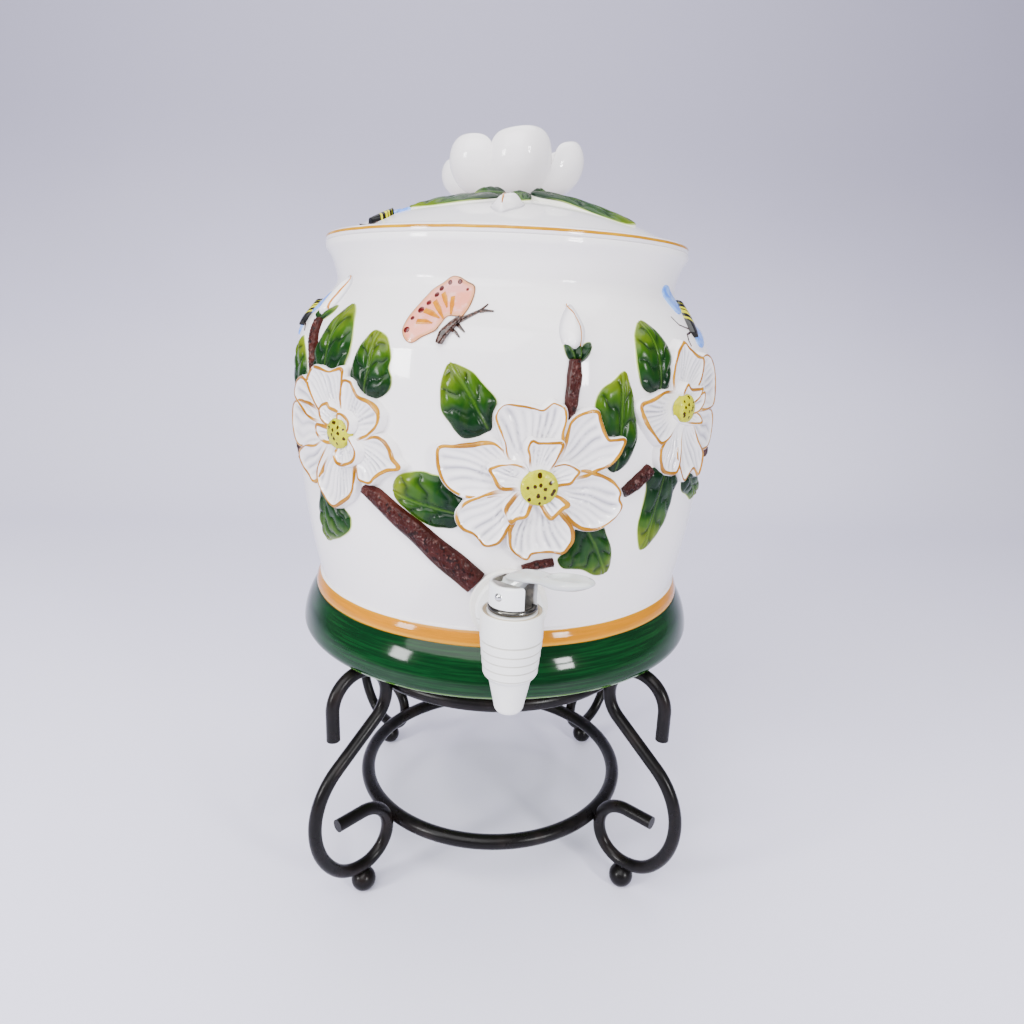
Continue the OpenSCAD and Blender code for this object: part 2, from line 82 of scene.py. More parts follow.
class Paint:  # one material
    def __init__(self, name, **constants):
        self.material = bpy.data.materials.new(name)
        self.material.use_nodes = True
        self.tree = self.material.node_tree
        self.tree.nodes.clear()
        self.shader = self.tree.nodes.new("ShaderNodeBsdfPrincipled")
        out = self.tree.nodes.new("ShaderNodeOutputMaterial")
        self.tree.links.new(self.shader.outputs[0], out.inputs[0])
        self.coords = self.tree.nodes.new("ShaderNodeTexCoord").outputs["Object"]
        for key, value in constants.items():
            self.shader.inputs[key.replace("_", " ")].default_value = value

    def node(self, kind, settings, inputs, out=0):
        made = self.tree.nodes.new(kind)
        for key, value in settings.items():
            if key == "stops":
                ramp = made.color_ramp
                while len(ramp.elements) < len(value):
                    ramp.elements.new(0.5)
                for element, (place, colour) in zip(ramp.elements, value):
                    element.position, element.color = place, (*colour, 1)
            else:
                setattr(made, key, value)
        for key, value in inputs.items():
            if isinstance(value, Link):
                self.tree.links.new(value.socket, made.inputs[key])
            elif isinstance(value, tuple) and len(made.inputs[key].default_value) == 4:
                made.inputs[key].default_value = (*value, 1)
            else:
                made.inputs[key].default_value = value
        return Link(self, made.outputs[out])

    def place(self, stretch=(1, 1, 1)):
        return self.node("ShaderNodeMapping", {}, {"Vector": Link(self, self.coords), "Scale": stretch})

    def height(self):  # in metres
        return self.node("ShaderNodeSeparateXYZ", {}, {0: Link(self, self.coords)}, "Z")

    def reach(self, x=0, y=0):  # distance from the upright axis through x, y, in millimetres
        return self.node("ShaderNodeVectorMath", {"operation": "DISTANCE"},
                         {0: self.place((1, 1, 0)), 1: (x * mm, y * mm, 0)}, 1) / mm

    def mark(self, name):  # an attribute of the piece
        return self.node("ShaderNodeAttribute", {"attribute_name": name}, {}, "Fac")

    def noise(self, scale, detail=3.0, rough=0.5, stretch=(1, 1, 1)):
        return self.node("ShaderNodeTexNoise", {}, {"Vector": self.place(stretch), "Scale": scale,
                                                    "Detail": detail, "Roughness": rough})

    def sway(self, scale, amount, detail=2):  # noise about zero
        return (self.noise(scale, detail) - 0.5) * amount

    def cells(self, scale, stretch):  # distance to the edges of cells
        return self.node("ShaderNodeTexVoronoi", {"feature": "DISTANCE_TO_EDGE"},
                         {"Vector": self.place(stretch), "Scale": scale})

    def mix(self, factor, a, b):
        return self.node("ShaderNodeMix", {"data_type": "RGBA"}, {0: factor, 6: a, 7: b}, 2)

    def ramp(self, factor, *stops):
        return self.node("ShaderNodeValToRGB", {"stops": stops}, {0: factor})

    def put(self, name, link):
        self.tree.links.new(link.socket, self.shader.inputs[name])

    def rough(self, low, span, scale, detail=3):
        self.put("Roughness", low + self.noise(scale, detail) * span)

    def bump(self, height, strength, distance):
        self.put("Normal", self.node("ShaderNodeBump", {}, {"Height": height, "Strength": strength,
                                                            "Distance": distance * mm}))


# glazes
glaze = {
    "white": (0.86, 0.83, 0.84), "shade": (0.82, 0.785, 0.79), "speck": (0.5, 0.44, 0.40),
    "bare": (0.62, 0.55, 0.47), "amber": (0.43, 0.160, 0.0), "streakAmber": (0.50, 0.18, 0.0),
    "paleAmber": (0.50, 0.23, 0.0), "footAmber": (0.58, 0.25, 0.0), "green": (0.0006, 0.018, 0.0045),
    "streakGreen": (0.0025, 0.038, 0.008), "fineGreen": (0.012, 0.075, 0.02), "edgeGreen": (0.09, 0.22, 0.03),
}
crockPlan = {"seat": 158.026, "rim": 398.526, "flangeTop": 188.2, "bandTop": 196.6}
tapAxis = (0, -152)


def glazedWhite(name):
    paint = Paint(name, Coat_Roughness=0.03, Specular_IOR_Level=0.2)
    cloud = paint.noise(14, 4, 0.55)
    colour = paint.mix(cloud.above(0.42, 0.72), glaze["white"], glaze["shade"])
    specks = paint.noise(900, 2, 0.5).above(0.71, 0.74)
    colour = paint.mix(specks * 0.25, colour, glaze["speck"])
    paint.bump(paint.noise(22, 2, 0.4) + paint.noise(160, 2, 0.4) * 0.10, 0.35, 0.9)
    paint.rough(0.06, 0.07, 40)
    return paint, colour


def crockGlaze():  # white, with the amber band and the green flange painted by height
    paint, white = glazedWhite("crockGlaze")
    seat, flangeTop, bandTop = crockPlan["seat"], crockPlan["flangeTop"], crockPlan["bandTop"]
    height = paint.height() / mm
    wave = paint.sway(30, 1.4)
    streak = paint.noise(1, 4, 0.65, (26, 26, 900)).above(0.42, 0.66)
    fine = paint.noise(1, 3, 0.6, (60, 60, 2600))
    green = paint.mix(streak, glaze["green"], glaze["streakGreen"])
    green = paint.mix(fine.above(0.58, 0.74) * 0.18, green, glaze["fineGreen"])
    low = height + wave * 0.35
    edge = low.below(seat + 3.4, seat + 5.0) * low.above(seat + 1.6, seat + 2.6)
    green = paint.mix(edge, green, glaze["edgeGreen"])
    streak = paint.noise(1, 3, 0.6, (40, 40, 700)).above(0.35, 0.7)
    amber = paint.mix(streak, glaze["amber"], glaze["streakAmber"])
    foot = (height + wave * 0.5).below(flangeTop + 0.8, flangeTop + 2.6)
    amber = paint.mix(foot, amber, glaze["footAmber"])
    top = (height + wave * 0.4).above(bandTop - 1.2, bandTop - 0.3)
    amber = paint.mix(top, amber, glaze["paleAmber"])
    line = height + wave * 0.6
    colour = paint.mix(line.below(bandTop - 0.35, bandTop + 0.15), white, amber)
    colour = paint.mix(line.below(flangeTop - 0.3, flangeTop + 0.3), colour, green)
    inside = paint.reach().below(112, 114) * height.above(seat + 8, seat + 9)
    colour = paint.mix(inside, colour, glaze["white"])
    colour = paint.mix(height.below(seat + 0.8, seat + 1.4), colour, glaze["bare"])
    paint.put("Base Color", colour)
    paint.put("Coat Weight", height.above(bandTop - 0.5, bandTop + 0.5) * 0.3)
    return paint.material


def lidGlaze():  # white greyed by painted shade, as the dome gets less light, with a thin amber line round the edge
    paint, white = glazedWhite("lidGlaze")
    up = paint.height() / mm + paint.sway(60, 0.9) * 0.5 - crockPlan["rim"]
    line = paint.reach().above(108.6, 109.0) * up.above(1.7, 1.9) * up.below(3.2, 3.5)
    amber = paint.mix(paint.noise(50, 3).above(0.4, 0.65), (0.40, 0.175, 0.0), (0.50, 0.25, 0.0))
    # painted shade: the lid's white is mixed half with grey
    paint.put("Base Color", paint.mix(line, paint.mix(0.5, white, (0.70, 0.68, 0.70)), amber))
    paint.put("Coat Weight", (1 - line) * 0.3)
    return paint.material


def petalGlaze():  # white, amber brush line round each petal, yellow heart with brown dabs
    paint, white = glazedWhite("petalGlaze")
    rim, heart = paint.mark("rim"), paint.mark("heart")
    middle = rim - 1.35 + paint.sway(90, 1.1)
    half = 0.80 + (paint.noise(48, 2) - 0.45) * 2.2
    line = (half - middle).above(0.0, 0.14) * (half + middle).above(0.0, 0.14)
    line = line * paint.noise(65, 2).above(0.27, 0.33)
    amber = paint.mix(paint.noise(80, 3).above(0.42, 0.6), (0.27, 0.105, 0.0), (0.40, 0.18, 0.0))
    # painted shade: grey-lavender in the grooves between the petals' ridges and round the buds' edges
    colour = paint.mix(paint.mark("hollow") * 0.95, white, (0.30, 0.29, 0.35))
    colour = paint.mix(line * paint.mark("lined"), colour, amber)
    yellow = paint.mix(paint.noise(300, 3).above(0.4, 0.65), (0.37, 0.37, 0.0), (0.46, 0.46, 0.0))
    dab = (paint.mark("dab") + paint.sway(500, 0.5)).above(0.42, 0.55)
    yellow = paint.mix(dab, yellow, (0.030, 0.012, 0.001))
    paint.put("Base Color", paint.mix(heart.above(0.4, 0.6), colour, yellow))
    paint.put("Coat Weight", (1 - heart) * 0.25)
    return paint.material


def leafGlaze():  # dark green at the stalk, yellow-green at the tip, painted shade in the hollows, a thin pale edge
    paint = Paint("leafGlaze", Specular_IOR_Level=0.17)
    along, hollow, rim = paint.mark("along"), paint.mark("hollow"), paint.mark("rim")
    patchy = along + paint.sway(55, 0.75, 3)
    tone = paint.ramp(patchy, (0.18, (0.0007, 0.013, 0.003)), (0.48, (0.004, 0.034, 0.002)),
                      (0.70, (0.030, 0.082, 0.002)), (0.98, (0.125, 0.170, 0.002)))
    fine = paint.noise(1, 3, 0.6, (260, 260, 90)).above(0.45, 0.7)
    tone = paint.mix(fine * 0.25 * along, tone, (0.10, 0.17, 0.006))
    tone = paint.mix(paint.mark("vein") * 0.35, tone, (0.07, 0.15, 0.012))
    # painted shade: near-black green in the valleys between the veins
    tone = paint.mix(hollow * 0.85, tone, (0.0005, 0.010, 0.003))
    pale = (rim + paint.sway(90, 0.8)).below(-0.1, 0.35)
    tone = paint.mix(pale * along.above(0.1, 0.5) * 0.8, tone, (0.40, 0.50, 0.12))
    tone = paint.mix(rim.below(-0.75, -0.35), tone, (0.80, 0.79, 0.70))
    paint.put("Base Color", tone)
    paint.rough(0.17, 0.14, 60)
    paint.bump(paint.noise(1, 3, 0.6, (330, 330, 120)), 0.08, 0.3)
    return paint.material


def barkGlaze():  # mottled dark brown, pitted along the middle of a branch
    paint = Paint("barkGlaze", Specular_IOR_Level=0.13)
    pits = paint.cells(420, (1, 1, 0.7))
    tone = paint.ramp(paint.noise(70, 3, 0.5), (0.3, (0.016, 0.0028, 0.002)), (0.5, (0.032, 0.0052, 0.0038)),
                      (0.72, (0.055, 0.011, 0.007)))
    middle = paint.mark("middle")
    tone = paint.mix(paint.noise(420, 3, 0.6).above(0.57, 0.66) * middle * 0.6, tone, (0.16, 0.085, 0.075))
    tone = paint.mix(paint.noise(360, 2).below(0.38, 0.45) * middle * 0.85, tone, (0.006, 0.0022, 0.0022))
    paint.put("Base Color", tone)
    paint.rough(0.2, 0.2, 90)
    paint.bump((pits.above(0.0, 0.3) + paint.noise(500, 3)) * middle, 0.6, 0.5)
    return paint.material


def brushPaint(name, light, dark, scale=160, amount=(0.4, 0.65)):  # one colour of the painter's brush
    paint = Paint(name, Coat_Weight=0.1, Coat_Roughness=0.05, Specular_IOR_Level=0.4)
    paint.put("Base Color", paint.mix(paint.noise(scale, 4, 0.6).above(*amount), light, dark))
    paint.rough(0.08, 0.1, 70, 2)
    return paint.material


def wingPaint():  # peach and pink wing, with a brown edge
    paint = Paint("wingPaint", Coat_Weight=0.1, Coat_Roughness=0.05, Specular_IOR_Level=0.3)
    rim = paint.mark("rim")
    tone = paint.mix(paint.noise(75, 3).above(0.4, 0.6), (0.76, 0.26, 0.17), (0.72, 0.30, 0.26))
    tone = paint.mix(paint.noise(200, 3, 0.6).above(0.5, 0.7) * 0.4, tone, (0.82, 0.58, 0.52))
    tone = paint.mix(rim.below(0.9, 2.4) * 0.75, tone, (0.56, 0.25, 0.09))
    line = (rim + paint.sway(120, 0.8)).below(0.2, 0.6)
    tone = paint.mix(line * rim.above(-0.3, 0.0), tone, (0.10, 0.045, 0.015))
    tone = paint.mix(rim.below(-0.6, -0.2), tone, (0.86, 0.72, 0.62))
    paint.put("Base Color", tone)
    paint.rough(0.08, 0.1, 70, 2)
    return paint.material


def beePaint():  # stripes along the bee's back
    paint = Paint("beePaint", Specular_IOR_Level=0.25)
    along = paint.mark("along")
    stripes = paint.node("ShaderNodeTexNoise", {"noise_dimensions": "1D"},
                         {"W": along * 9.0, "Scale": 1.0, "Detail": 0.0})
    back = paint.mix(stripes.above(0.47, 0.52), (0.52, 0.50, 0.0), (0.005, 0.0045, 0.0045))
    paint.put("Base Color", paint.mix(along.above(0.60, 0.65), back, (0.008, 0.008, 0.009)))
    paint.rough(0.08, 0.1, 70, 2)
    return paint.material


def ironPaint():  # semi-gloss black, worn dull in small places
    paint = Paint("ironPaint", Specular_IOR_Level=0.14)
    patch = paint.noise(60, 4, 0.6).above(0.45, 0.75)
    paint.put("Base Color", paint.mix(patch, (0.004, 0.0035, 0.0037), (0.012, 0.0085, 0.008)))
    worn = paint.noise(420, 4, 0.6).above(0.70, 0.76)
    paint.put("Roughness", 0.20 + paint.noise(90, 4) * 0.18 + worn * 0.2)
    paint.bump(paint.noise(260, 3, 0.5) + paint.noise(900, 2) * 0.25, 0.28, 0.25)
    return paint.material


def plastic(name, colour, dirt, rough, coat=0.0, grain=0.10, stain=(0.60, 0.80)):
    paint = Paint(name, Coat_Weight=coat, Coat_Roughness=0.05, Subsurface_Weight=0.06, Subsurface_Scale=0.002)
    paint.put("Base Color", paint.mix(paint.noise(55, 4, 0.6).above(*stain) * 0.6, colour, dirt))
    paint.rough(rough, 0.12, 120)
    paint.bump(paint.noise(1400, 2), grain, 0.05)
    return paint.material


def collarPlastic():  # satin plastic, with painted shade in the grooves between the grip ribs
    paint = Paint("tapPlastic", Specular_IOR_Level=0.4)
    height = paint.height() / mm
    grooveShade = 0.0
    # painted shade: a dark line at each groove between the grip ribs, uneven along its length
    for grooveHeight in (209.1, 204.3, 199.8, 195.3, 190.9):
        grooveShade = (height - grooveHeight).maths("ABSOLUTE").below(0.25, 0.6) + grooveShade
    grooveShade = grooveShade * (0.45 + paint.noise(60, 2) * 0.5)
    tone = paint.mix(paint.noise(55, 4, 0.6).above(0.60, 0.80) * 0.6, (0.80, 0.80, 0.775), (0.70, 0.68, 0.62))
    # painted shade darkens the grooves
    paint.put("Base Color", paint.mix(grooveShade, tone, (0.42, 0.40, 0.35)))
    paint.rough(0.30, 0.12, 120)
    paint.bump(paint.noise(1400, 2), 0.1, 0.05)
    return paint.material


def stainedPlastic():  # glossy turret, brown stain inside its slot, darkened further with painted shade
    paint = Paint("stainedPlastic", Coat_Weight=0.5, Coat_Roughness=0.05)
    inner = (paint.reach(*tapAxis) + paint.sway(160, 2.4, 3)).below(9.6, 10.9)
    stain = paint.mix(paint.noise(220, 4, 0.6).above(0.4, 0.6), (0.045, 0.035, 0.022), (0.16, 0.135, 0.10))
    # inside the slot: a brown stain, made darker as painted shade for the slot's interior
    paint.put("Base Color", paint.mix(inner * 0.9, (0.84, 0.85, 0.86), stain))
    paint.put("Roughness", 0.10 + paint.noise(120, 3) * 0.1 + inner * 0.25)
    return paint.material


def steel(name, colour, rough):
    paint = Paint(name, Metallic=1.0)
    dark = tuple(0.6 * c for c in colour)
    paint.put("Base Color", paint.mix(paint.noise(200, 3).above(0.4, 0.7), colour, dark))
    paint.rough(rough, 0.15, 300)
    return paint.material


glazes = {
    "crock": crockGlaze(), "lid": lidGlaze(), "petal": petalGlaze(), "leaf": leafGlaze(), "bark": barkGlaze(),
    "wing": wingPaint(), "bee": beePaint(),
    "amberPaint": brushPaint("amberPaint", (0.42, 0.13, 0.0), (0.52, 0.20, 0.0)),
    "redPaint": brushPaint("redPaint", (0.055, 0.0012, 0.0012), (0.10, 0.003, 0.0025)),
    "brownPaint": brushPaint("brownPaint", (0.014, 0.0055, 0.004), (0.085, 0.042, 0.032), 650, (0.45, 0.6)),
    "bluePaint": brushPaint("bluePaint", (0.06, 0.22, 0.82), (0.22, 0.42, 0.86)),
    "iron": ironPaint(), "tapPlastic": collarPlastic(), "glossPlastic": stainedPlastic(),
    "stemPlastic": plastic("stemPlastic", (0.80, 0.79, 0.74), (0.4, 0.3, 0.2), 0.2),
    "creamPlastic": plastic("creamPlastic", (0.56, 0.45, 0.28), (0.13, 0.075, 0.035), 0.4,
                            grain=0.15, stain=(0.44, 0.60)),
    "leverPlastic": plastic("leverPlastic", (0.52, 0.54, 0.53), (0.43, 0.44, 0.42), 0.12,
                            coat=0.4, grain=0.02, stain=(0.45, 0.65)),
    "rubber": plastic("rubber", (0.76, 0.74, 0.69), (0.66, 0.62, 0.55), 0.5, grain=0.3),
    "blackRubber": plastic("blackRubber", (0.03, 0.03, 0.03), (0.05, 0.05, 0.05), 0.5, grain=0.3),
    "darkSteel": steel("darkSteel", (0.13, 0.125, 0.11), 0.16),
    "brightSteel": steel("brightSteel", (0.62, 0.62, 0.63), 0.08),
}
print("materials made")


# small steps of modelling
def mode(name):
    bpy.ops.object.mode_set(mode=name)


def clear():
    if bpy.context.mode != "OBJECT":
        mode("OBJECT")
    bpy.ops.object.select_all(action="DESELECT")


def only(*objects):
    clear()
    for obj in objects:
        obj.select_set(True)
    bpy.context.view_layer.objects.active = objects[0]


def named(name):  # names what the last operator made
    obj = bpy.context.object
    obj.name = obj.data.name = name
    return obj


def selectAll():  # in edit mode
    bpy.ops.mesh.select_all(action="SELECT")


def extrude(x, y, z):
    bpy.ops.mesh.extrude_region_move(TRANSFORM_OT_translate={"value": (x, y, z)})


def faceOut(obj):  # all faces look outward
    only(obj)
    mode("EDIT")
    selectAll()
    bpy.ops.mesh.normals_make_consistent(inside=False)
    mode("OBJECT")
    return obj


def smooth(obj, degrees):
    only(obj)
    bpy.ops.object.shade_smooth_by_angle(angle=math.radians(degrees))


def finish(obj, body, look, degrees=40):
    obj.data.materials.clear()
    obj.data.materials.append(glazes[look])
    smooth(obj, degrees)
    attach(obj, body)
    return obj


def joined(name, pieces):
    only(*pieces)
    bpy.ops.object.join()
    return named(name)


def weld():  # in edit mode
    selectAll()
    bpy.ops.mesh.remove_doubles(threshold=0.005 * mm)


def turned(name, profile, steps):  # spins a profile of (radius, height) about the upright axis
    clear()
    bpy.ops.mesh.primitive_plane_add(size=mm, location=(0, 0, 0))
    obj = named(name)
    mode("EDIT")
    bpy.ops.mesh.merge(type="CENTER")
    bpy.ops.transform.translate(value=(profile[0][0] * mm, 0, profile[0][1] * mm))
    for (r1, z1), (r2, z2) in zip(profile, profile[1:]):
        extrude((r2 - r1) * mm, 0, (z2 - z1) * mm)
    selectAll()
    bpy.ops.mesh.spin(steps=steps, angle=math.tau, center=(0, 0, 0), axis=(0, 0, 1))
    weld()
    return faceOut(obj)


def arc(cx, cy, r, start, end, count):  # from one angle to the other, in degrees
    angles = np.radians(np.linspace(start, end, count + 1))
    return [(cx + r * math.cos(a), cy + r * math.sin(a)) for a in angles]


def bow(p, q, sag, count):  # from p to q on an arc that stands sag to the right of the way
    p, q = np.array(p, float), np.array(q, float)
    d = q - p
    c = np.hypot(*d)
    r = (c * c / 4 + sag * sag) / (2 * sag)
    half = math.asin(c / 2 / r)
    side = np.array([d[1], -d[0]]) / c
    mid = (p + q) / 2 - side * (r - sag)
    angles = np.linspace(-half, half, count + 1)
    return [tuple(mid + side * r * math.cos(a) + d / c * r * math.sin(a)) for a in angles]


def oval(cx, cy, rx, ry, count):
    angles = np.linspace(0, math.tau, count, endpoint=False)
    return [(cx + rx * math.cos(a), cy + ry * math.sin(a)) for a in angles]


def rounded(points, radius, count=3):  # a polyline with its inner corners rounded
    out = [points[0]]
    for a, b, c in zip(points, points[1:], points[2:]):
        a, b, c = np.array(a, float), np.array(b, float), np.array(c, float)
        cut = min(radius, np.hypot(*(a - b)) * 0.45, np.hypot(*(c - b)) * 0.45)
        p, q = b + (a - b) / np.hypot(*(a - b)) * cut, b + (c - b) / np.hypot(*(c - b)) * cut
        for t in np.linspace(0, 1, count + 1):
            out.append(tuple((1 - t) ** 2 * p + 2 * t * (1 - t) * b + t * t * q))
    return out + [points[-1]]


# crock
belly = {"x": -310.5, "z": 298.026, "bow": 440, "low": 39.9, "high": 5.5,
         "shoulder": 30, "slope": 42, "wall": 7}  # x, z and bow are the wall's long arc
toShoulder = belly["bow"] - belly["shoulder"]
shoulder = (belly["x"] + toShoulder * math.cos(math.radians(belly["high"])),
            belly["z"] + toShoulder * math.sin(math.radians(belly["high"])))


def crockOutside():
    s, b = crockPlan["seat"], belly
    low = math.degrees(math.asin((s + b["low"] - b["z"]) / b["bow"]))
    rim = crockPlan["rim"]
    return (rounded([(109, s + 1.6), (109.5, s), (112, s), (120.5, s), (122, s + 1.6)], 0.8)
            + arc(124, s + 7.6, 6, -90, 0, 8) + bow((130, s + 8.1), (121.5, s + 30), 1.6, 14)
            + rounded([(121.3, s + 30.1), (121.6, s + 31.2), (121.0, s + 34.5), (119.7, s + 37.4),
                       (119.0, s + 38.4), (119.05, s + 39.2)], 0.9)
            + arc(b["x"], b["z"], b["bow"], low, b["high"], 36)
            + arc(*shoulder, b["shoulder"], b["high"] + 4, b["slope"], 8)
            + rounded([(112.2, s + 208.0), (105.2, s + 215.6), (103.4, s + 219.4), (104.3, s + 224.5)], 2.2, 5)
            + bow((104.8, s + 226.4), (109.8, rim - 3.4), -0.7, 8)
            + rounded([(109.9, rim - 2.4), (109.9, rim - 0.5), (109.4, rim), (101.5, rim), (99.2, rim - 1.2),
                       (97, rim - 8)], 0.9))


def crockInside():
    s, b = crockPlan["seat"], belly
    return ([(96.4, s + 219), (97.4, s + 213)]
            + arc(*shoulder, b["shoulder"] - b["wall"], b["slope"], b["high"], 6)
            + arc(b["x"], b["z"], b["bow"] - b["wall"], b["high"] - 0.6, -12, 24)
            + rounded([(111.6, s + 42), (109.6, s + 28), (103, s + 16), (92, s + 12), (0, s + 11)], 8, 6)
            + [(0, s + 3.5), (60, s + 3.3), (100, s + 3.1), (107, s + 3), (109, s + 1.6)])


outside = crockOutside()
sideLine = np.array([(r, z) for r, z in outside if z > crockPlan["seat"] + 39 and r < 130])
sideLine = sideLine[np.argsort(sideLine[:, 1])]


def wallRadius(z):
    return np.interp(z, sideLine[:, 1], sideLine[:, 0])


crock = turned("crockBody", outside + crockInside(), 192)
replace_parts(finish(crock, "crock", "crock", 60), "crock")
print("crock turned")


# relief
widest = belly["x"] + belly["bow"]  # the belly's largest radius


def onWall(azimuth, height, turn=0.0):  # flat places round a point of the wall, as seen from outside
    c, s = math.cos(math.radians(turn)), math.sin(math.radians(turn))

    def place(x, y, h):
        x, y = x * c - y * s, x * s + y * c
        z = height + y
        a = math.radians(azimuth) + x / widest
        r = wallRadius(z) + h
        return np.stack([r * np.sin(a), -r * np.cos(a), z], 1)
    return place


def smoothLoop(points):  # closed curve through the points, anticlockwise, in 360 even steps
    p = np.array(points, float)
    if np.sum(p[:, 0] * np.roll(p[:, 1], -1) - p[:, 1] * np.roll(p[:, 0], -1)) < 0:
        p = p[::-1]
    rows = []
    for i in range(len(p)):
        a, b, c, d = p[i - 1], p[i], p[(i + 1) % len(p)], p[(i + 2) % len(p)]
        for t in np.linspace(0, 1, 12, endpoint=False):
            rows.append(b + 0.5 * t * (c - a + t * (2 * a - 5 * b + 4 * c - d + t * (3 * (b - c) + d - a))))
    rows = np.array(rows + [rows[0]])
    step = np.concatenate([[0], np.cumsum(np.hypot(*np.diff(rows, axis=0).T))])
    even = np.linspace(0, step[-1], 360, endpoint=False)
    return np.stack([np.interp(even, step, rows[:, k]) for k in (0, 1)], 1)


def discTemplate(name, around, rings):  # a disc of rings on a two-step foot, read as parameters
    clear()
    bpy.ops.mesh.primitive_circle_add(vertices=around, radius=1, location=(0, 0, -2))
    obj = named(name)
    mode("EDIT")
    for _ in range(2):
        extrude(0, 0, 1)
    last = 1.0
    for ring in rings:
        extrude(0, 0, 0)
        bpy.ops.transform.resize(value=(ring / last, ring / last, 1), center_override=(0, 0, 0))
        last = ring
    extrude(0, 0, 0)
    bpy.ops.mesh.merge(type="CENTER")
    mode("OBJECT")
    obj.data.transform(Matrix.Translation(obj.location))
    obj.location = (0, 0, 0)
    return obj


fineDisc = discTemplate("fineDisc", 208, [
    0.988, 0.975, 0.96, 0.945, 0.93, 0.91, 0.885, 0.855, 0.82, 0.785, 0.745, 0.7, 0.65, 0.6, 0.545, 0.49, 0.43,
    0.37, 0.3, 0.23, 0.16, 0.08])
midDisc = discTemplate("midDisc", 104, [
    0.975, 0.95, 0.92, 0.88, 0.83, 0.77, 0.7, 0.62, 0.53, 0.43, 0.32, 0.2, 0.1])
smallDisc = discTemplate("smallDisc", 28, [0.9, 0.7, 0.4])


def places(obj):
    co = np.empty(len(obj.data.vertices) * 3)
    obj.data.vertices.foreach_get("co", co)
    return co.reshape(-1, 3)


def moved(obj, co):
    obj.data.vertices.foreach_set("co", (co * mm).ravel())
    obj.data.update()


def marked(obj, **marks):
    for name, values in marks.items():
        layer = obj.data.attributes.new(name, "FLOAT", "POINT")
        layer.data.foreach_set("value", np.broadcast_to(values, len(obj.data.vertices)).astype(np.float32))


def copied(template, name):
    obj = template.copy()
    obj.data = template.data.copy()
    obj.name = obj.data.name = name
    bpy.context.collection.objects.link(obj)
    return obj


def ease(v, low, high):
    t = np.clip((v - low) / (high - low), 0, 1)
    return t * t * (3 - 2 * t)


def grown(loop, by):  # the loop moved outward
    d = np.roll(loop, -3, 0) - np.roll(loop, 3, 0)
    return loop + by * np.stack([d[:, 1], -d[:, 0]], 1) / np.maximum(np.hypot(*d.T), 1e-6)[:, None]


def hill(v, width):  # 1 at zero, and down on both sides
    return np.exp(-(v / width) ** 2)


def edgeAt(loop, u, v):  # the loop's place at each turn about the middle
    turn = (np.arctan2(v, u) / math.tau % 1) * len(loop)
    i = np.floor(turn).astype(int)
    t = (turn - i)[:, None]
    return loop[i % len(loop)] * (1 - t) + loop[(i + 1) % len(loop)] * t


def rimAway(p, loop):  # each point's distance from the loop
    return np.sqrt(((p[:, None, :] - loop[None]) ** 2).sum(2).min(1))


plain = {"rim": 9.0, "along": 0.0, "hollow": 0.0, "heart": 0.0, "lined": 0.0, "dab": 0.0, "vein": 0.0,
         "middle": 0.0}  # marks of a point that has none of its own


def relief(name, outline, place, form, template=None, sink=-0.6, flare=0.25, grow=0.0):
    # form(x, y, rim) gives the height above the wall and the marks of each point
    obj = copied(template or fineDisc, name)
    u, v, level = places(obj).T
    loop = grown(smoothLoop(outline), grow)
    rho = np.hypot(u, v)
    edge = edgeAt(loop, u, v)
    middle = loop.mean(0)
    p = middle + (edge - middle) * rho[:, None]
    rim = rimAway(p, loop)
    rim[rho > 0.999] = 0
    h, marks = form(p[:, 0], p[:, 1], rim)
    foot = level < -0.5
    outward = (edge - middle) / np.maximum(np.hypot(*(edge - middle).T), 1e-6)[:, None]
    p = p + outward * (flare * np.where(foot, -level, 0))[:, None]
    h = np.where(level < -1.5, sink, np.where(foot, h * 0.5 - 0.3, h))
    moved(obj, place(p[:, 0], p[:, 1], h))
    marked(obj, **{**plain, "rim": np.where(foot, level, rim), **marks})
    return obj


def budForm(plan):
    def form(x, y, rim):
        h = plan["low"] + plan["high"] * (1 - hill(rim, plan["spread"]))
        # the bud's edge is marked for painted shade
        return h, {"hollow": plan["hollow"] * hill(rim, 1.3)}
    return form


def onBud(outline, plan):  # height of a bud over its own places, for the line that lies on it
    loop = smoothLoop(outline)

    def lift(p):
        return plan["low"] + plan["high"] * (1 - hill(rimAway(p, loop), plan["spread"])) - 0.1
    return lift


petalPlan = {"low": 2.1, "high": 4.0, "step": 0.22, "dish": 1.35, "lip": 0.8, "ridge": 1.15, "ridges": 52,
             "rim": 1.3}
innerPlan = {"low": 4.0, "high": 6.3, "step": 0.2, "dish": 0.9, "lip": 0.6, "ridges": 44, "grow": 0.9}
heartPlan = {"low": 5.2, "high": 7.9}
# the last entry of a bud's plan sets how strong the painted shade round its edge is
budPlan = {"low": 0.8, "high": 4.4, "spread": 3.0, "hollow": 0.6}
leafPlan = {"high": 3.3, "veins": 3.6, "sepalHigh": 5.6, "sepalVeins": 2.0}


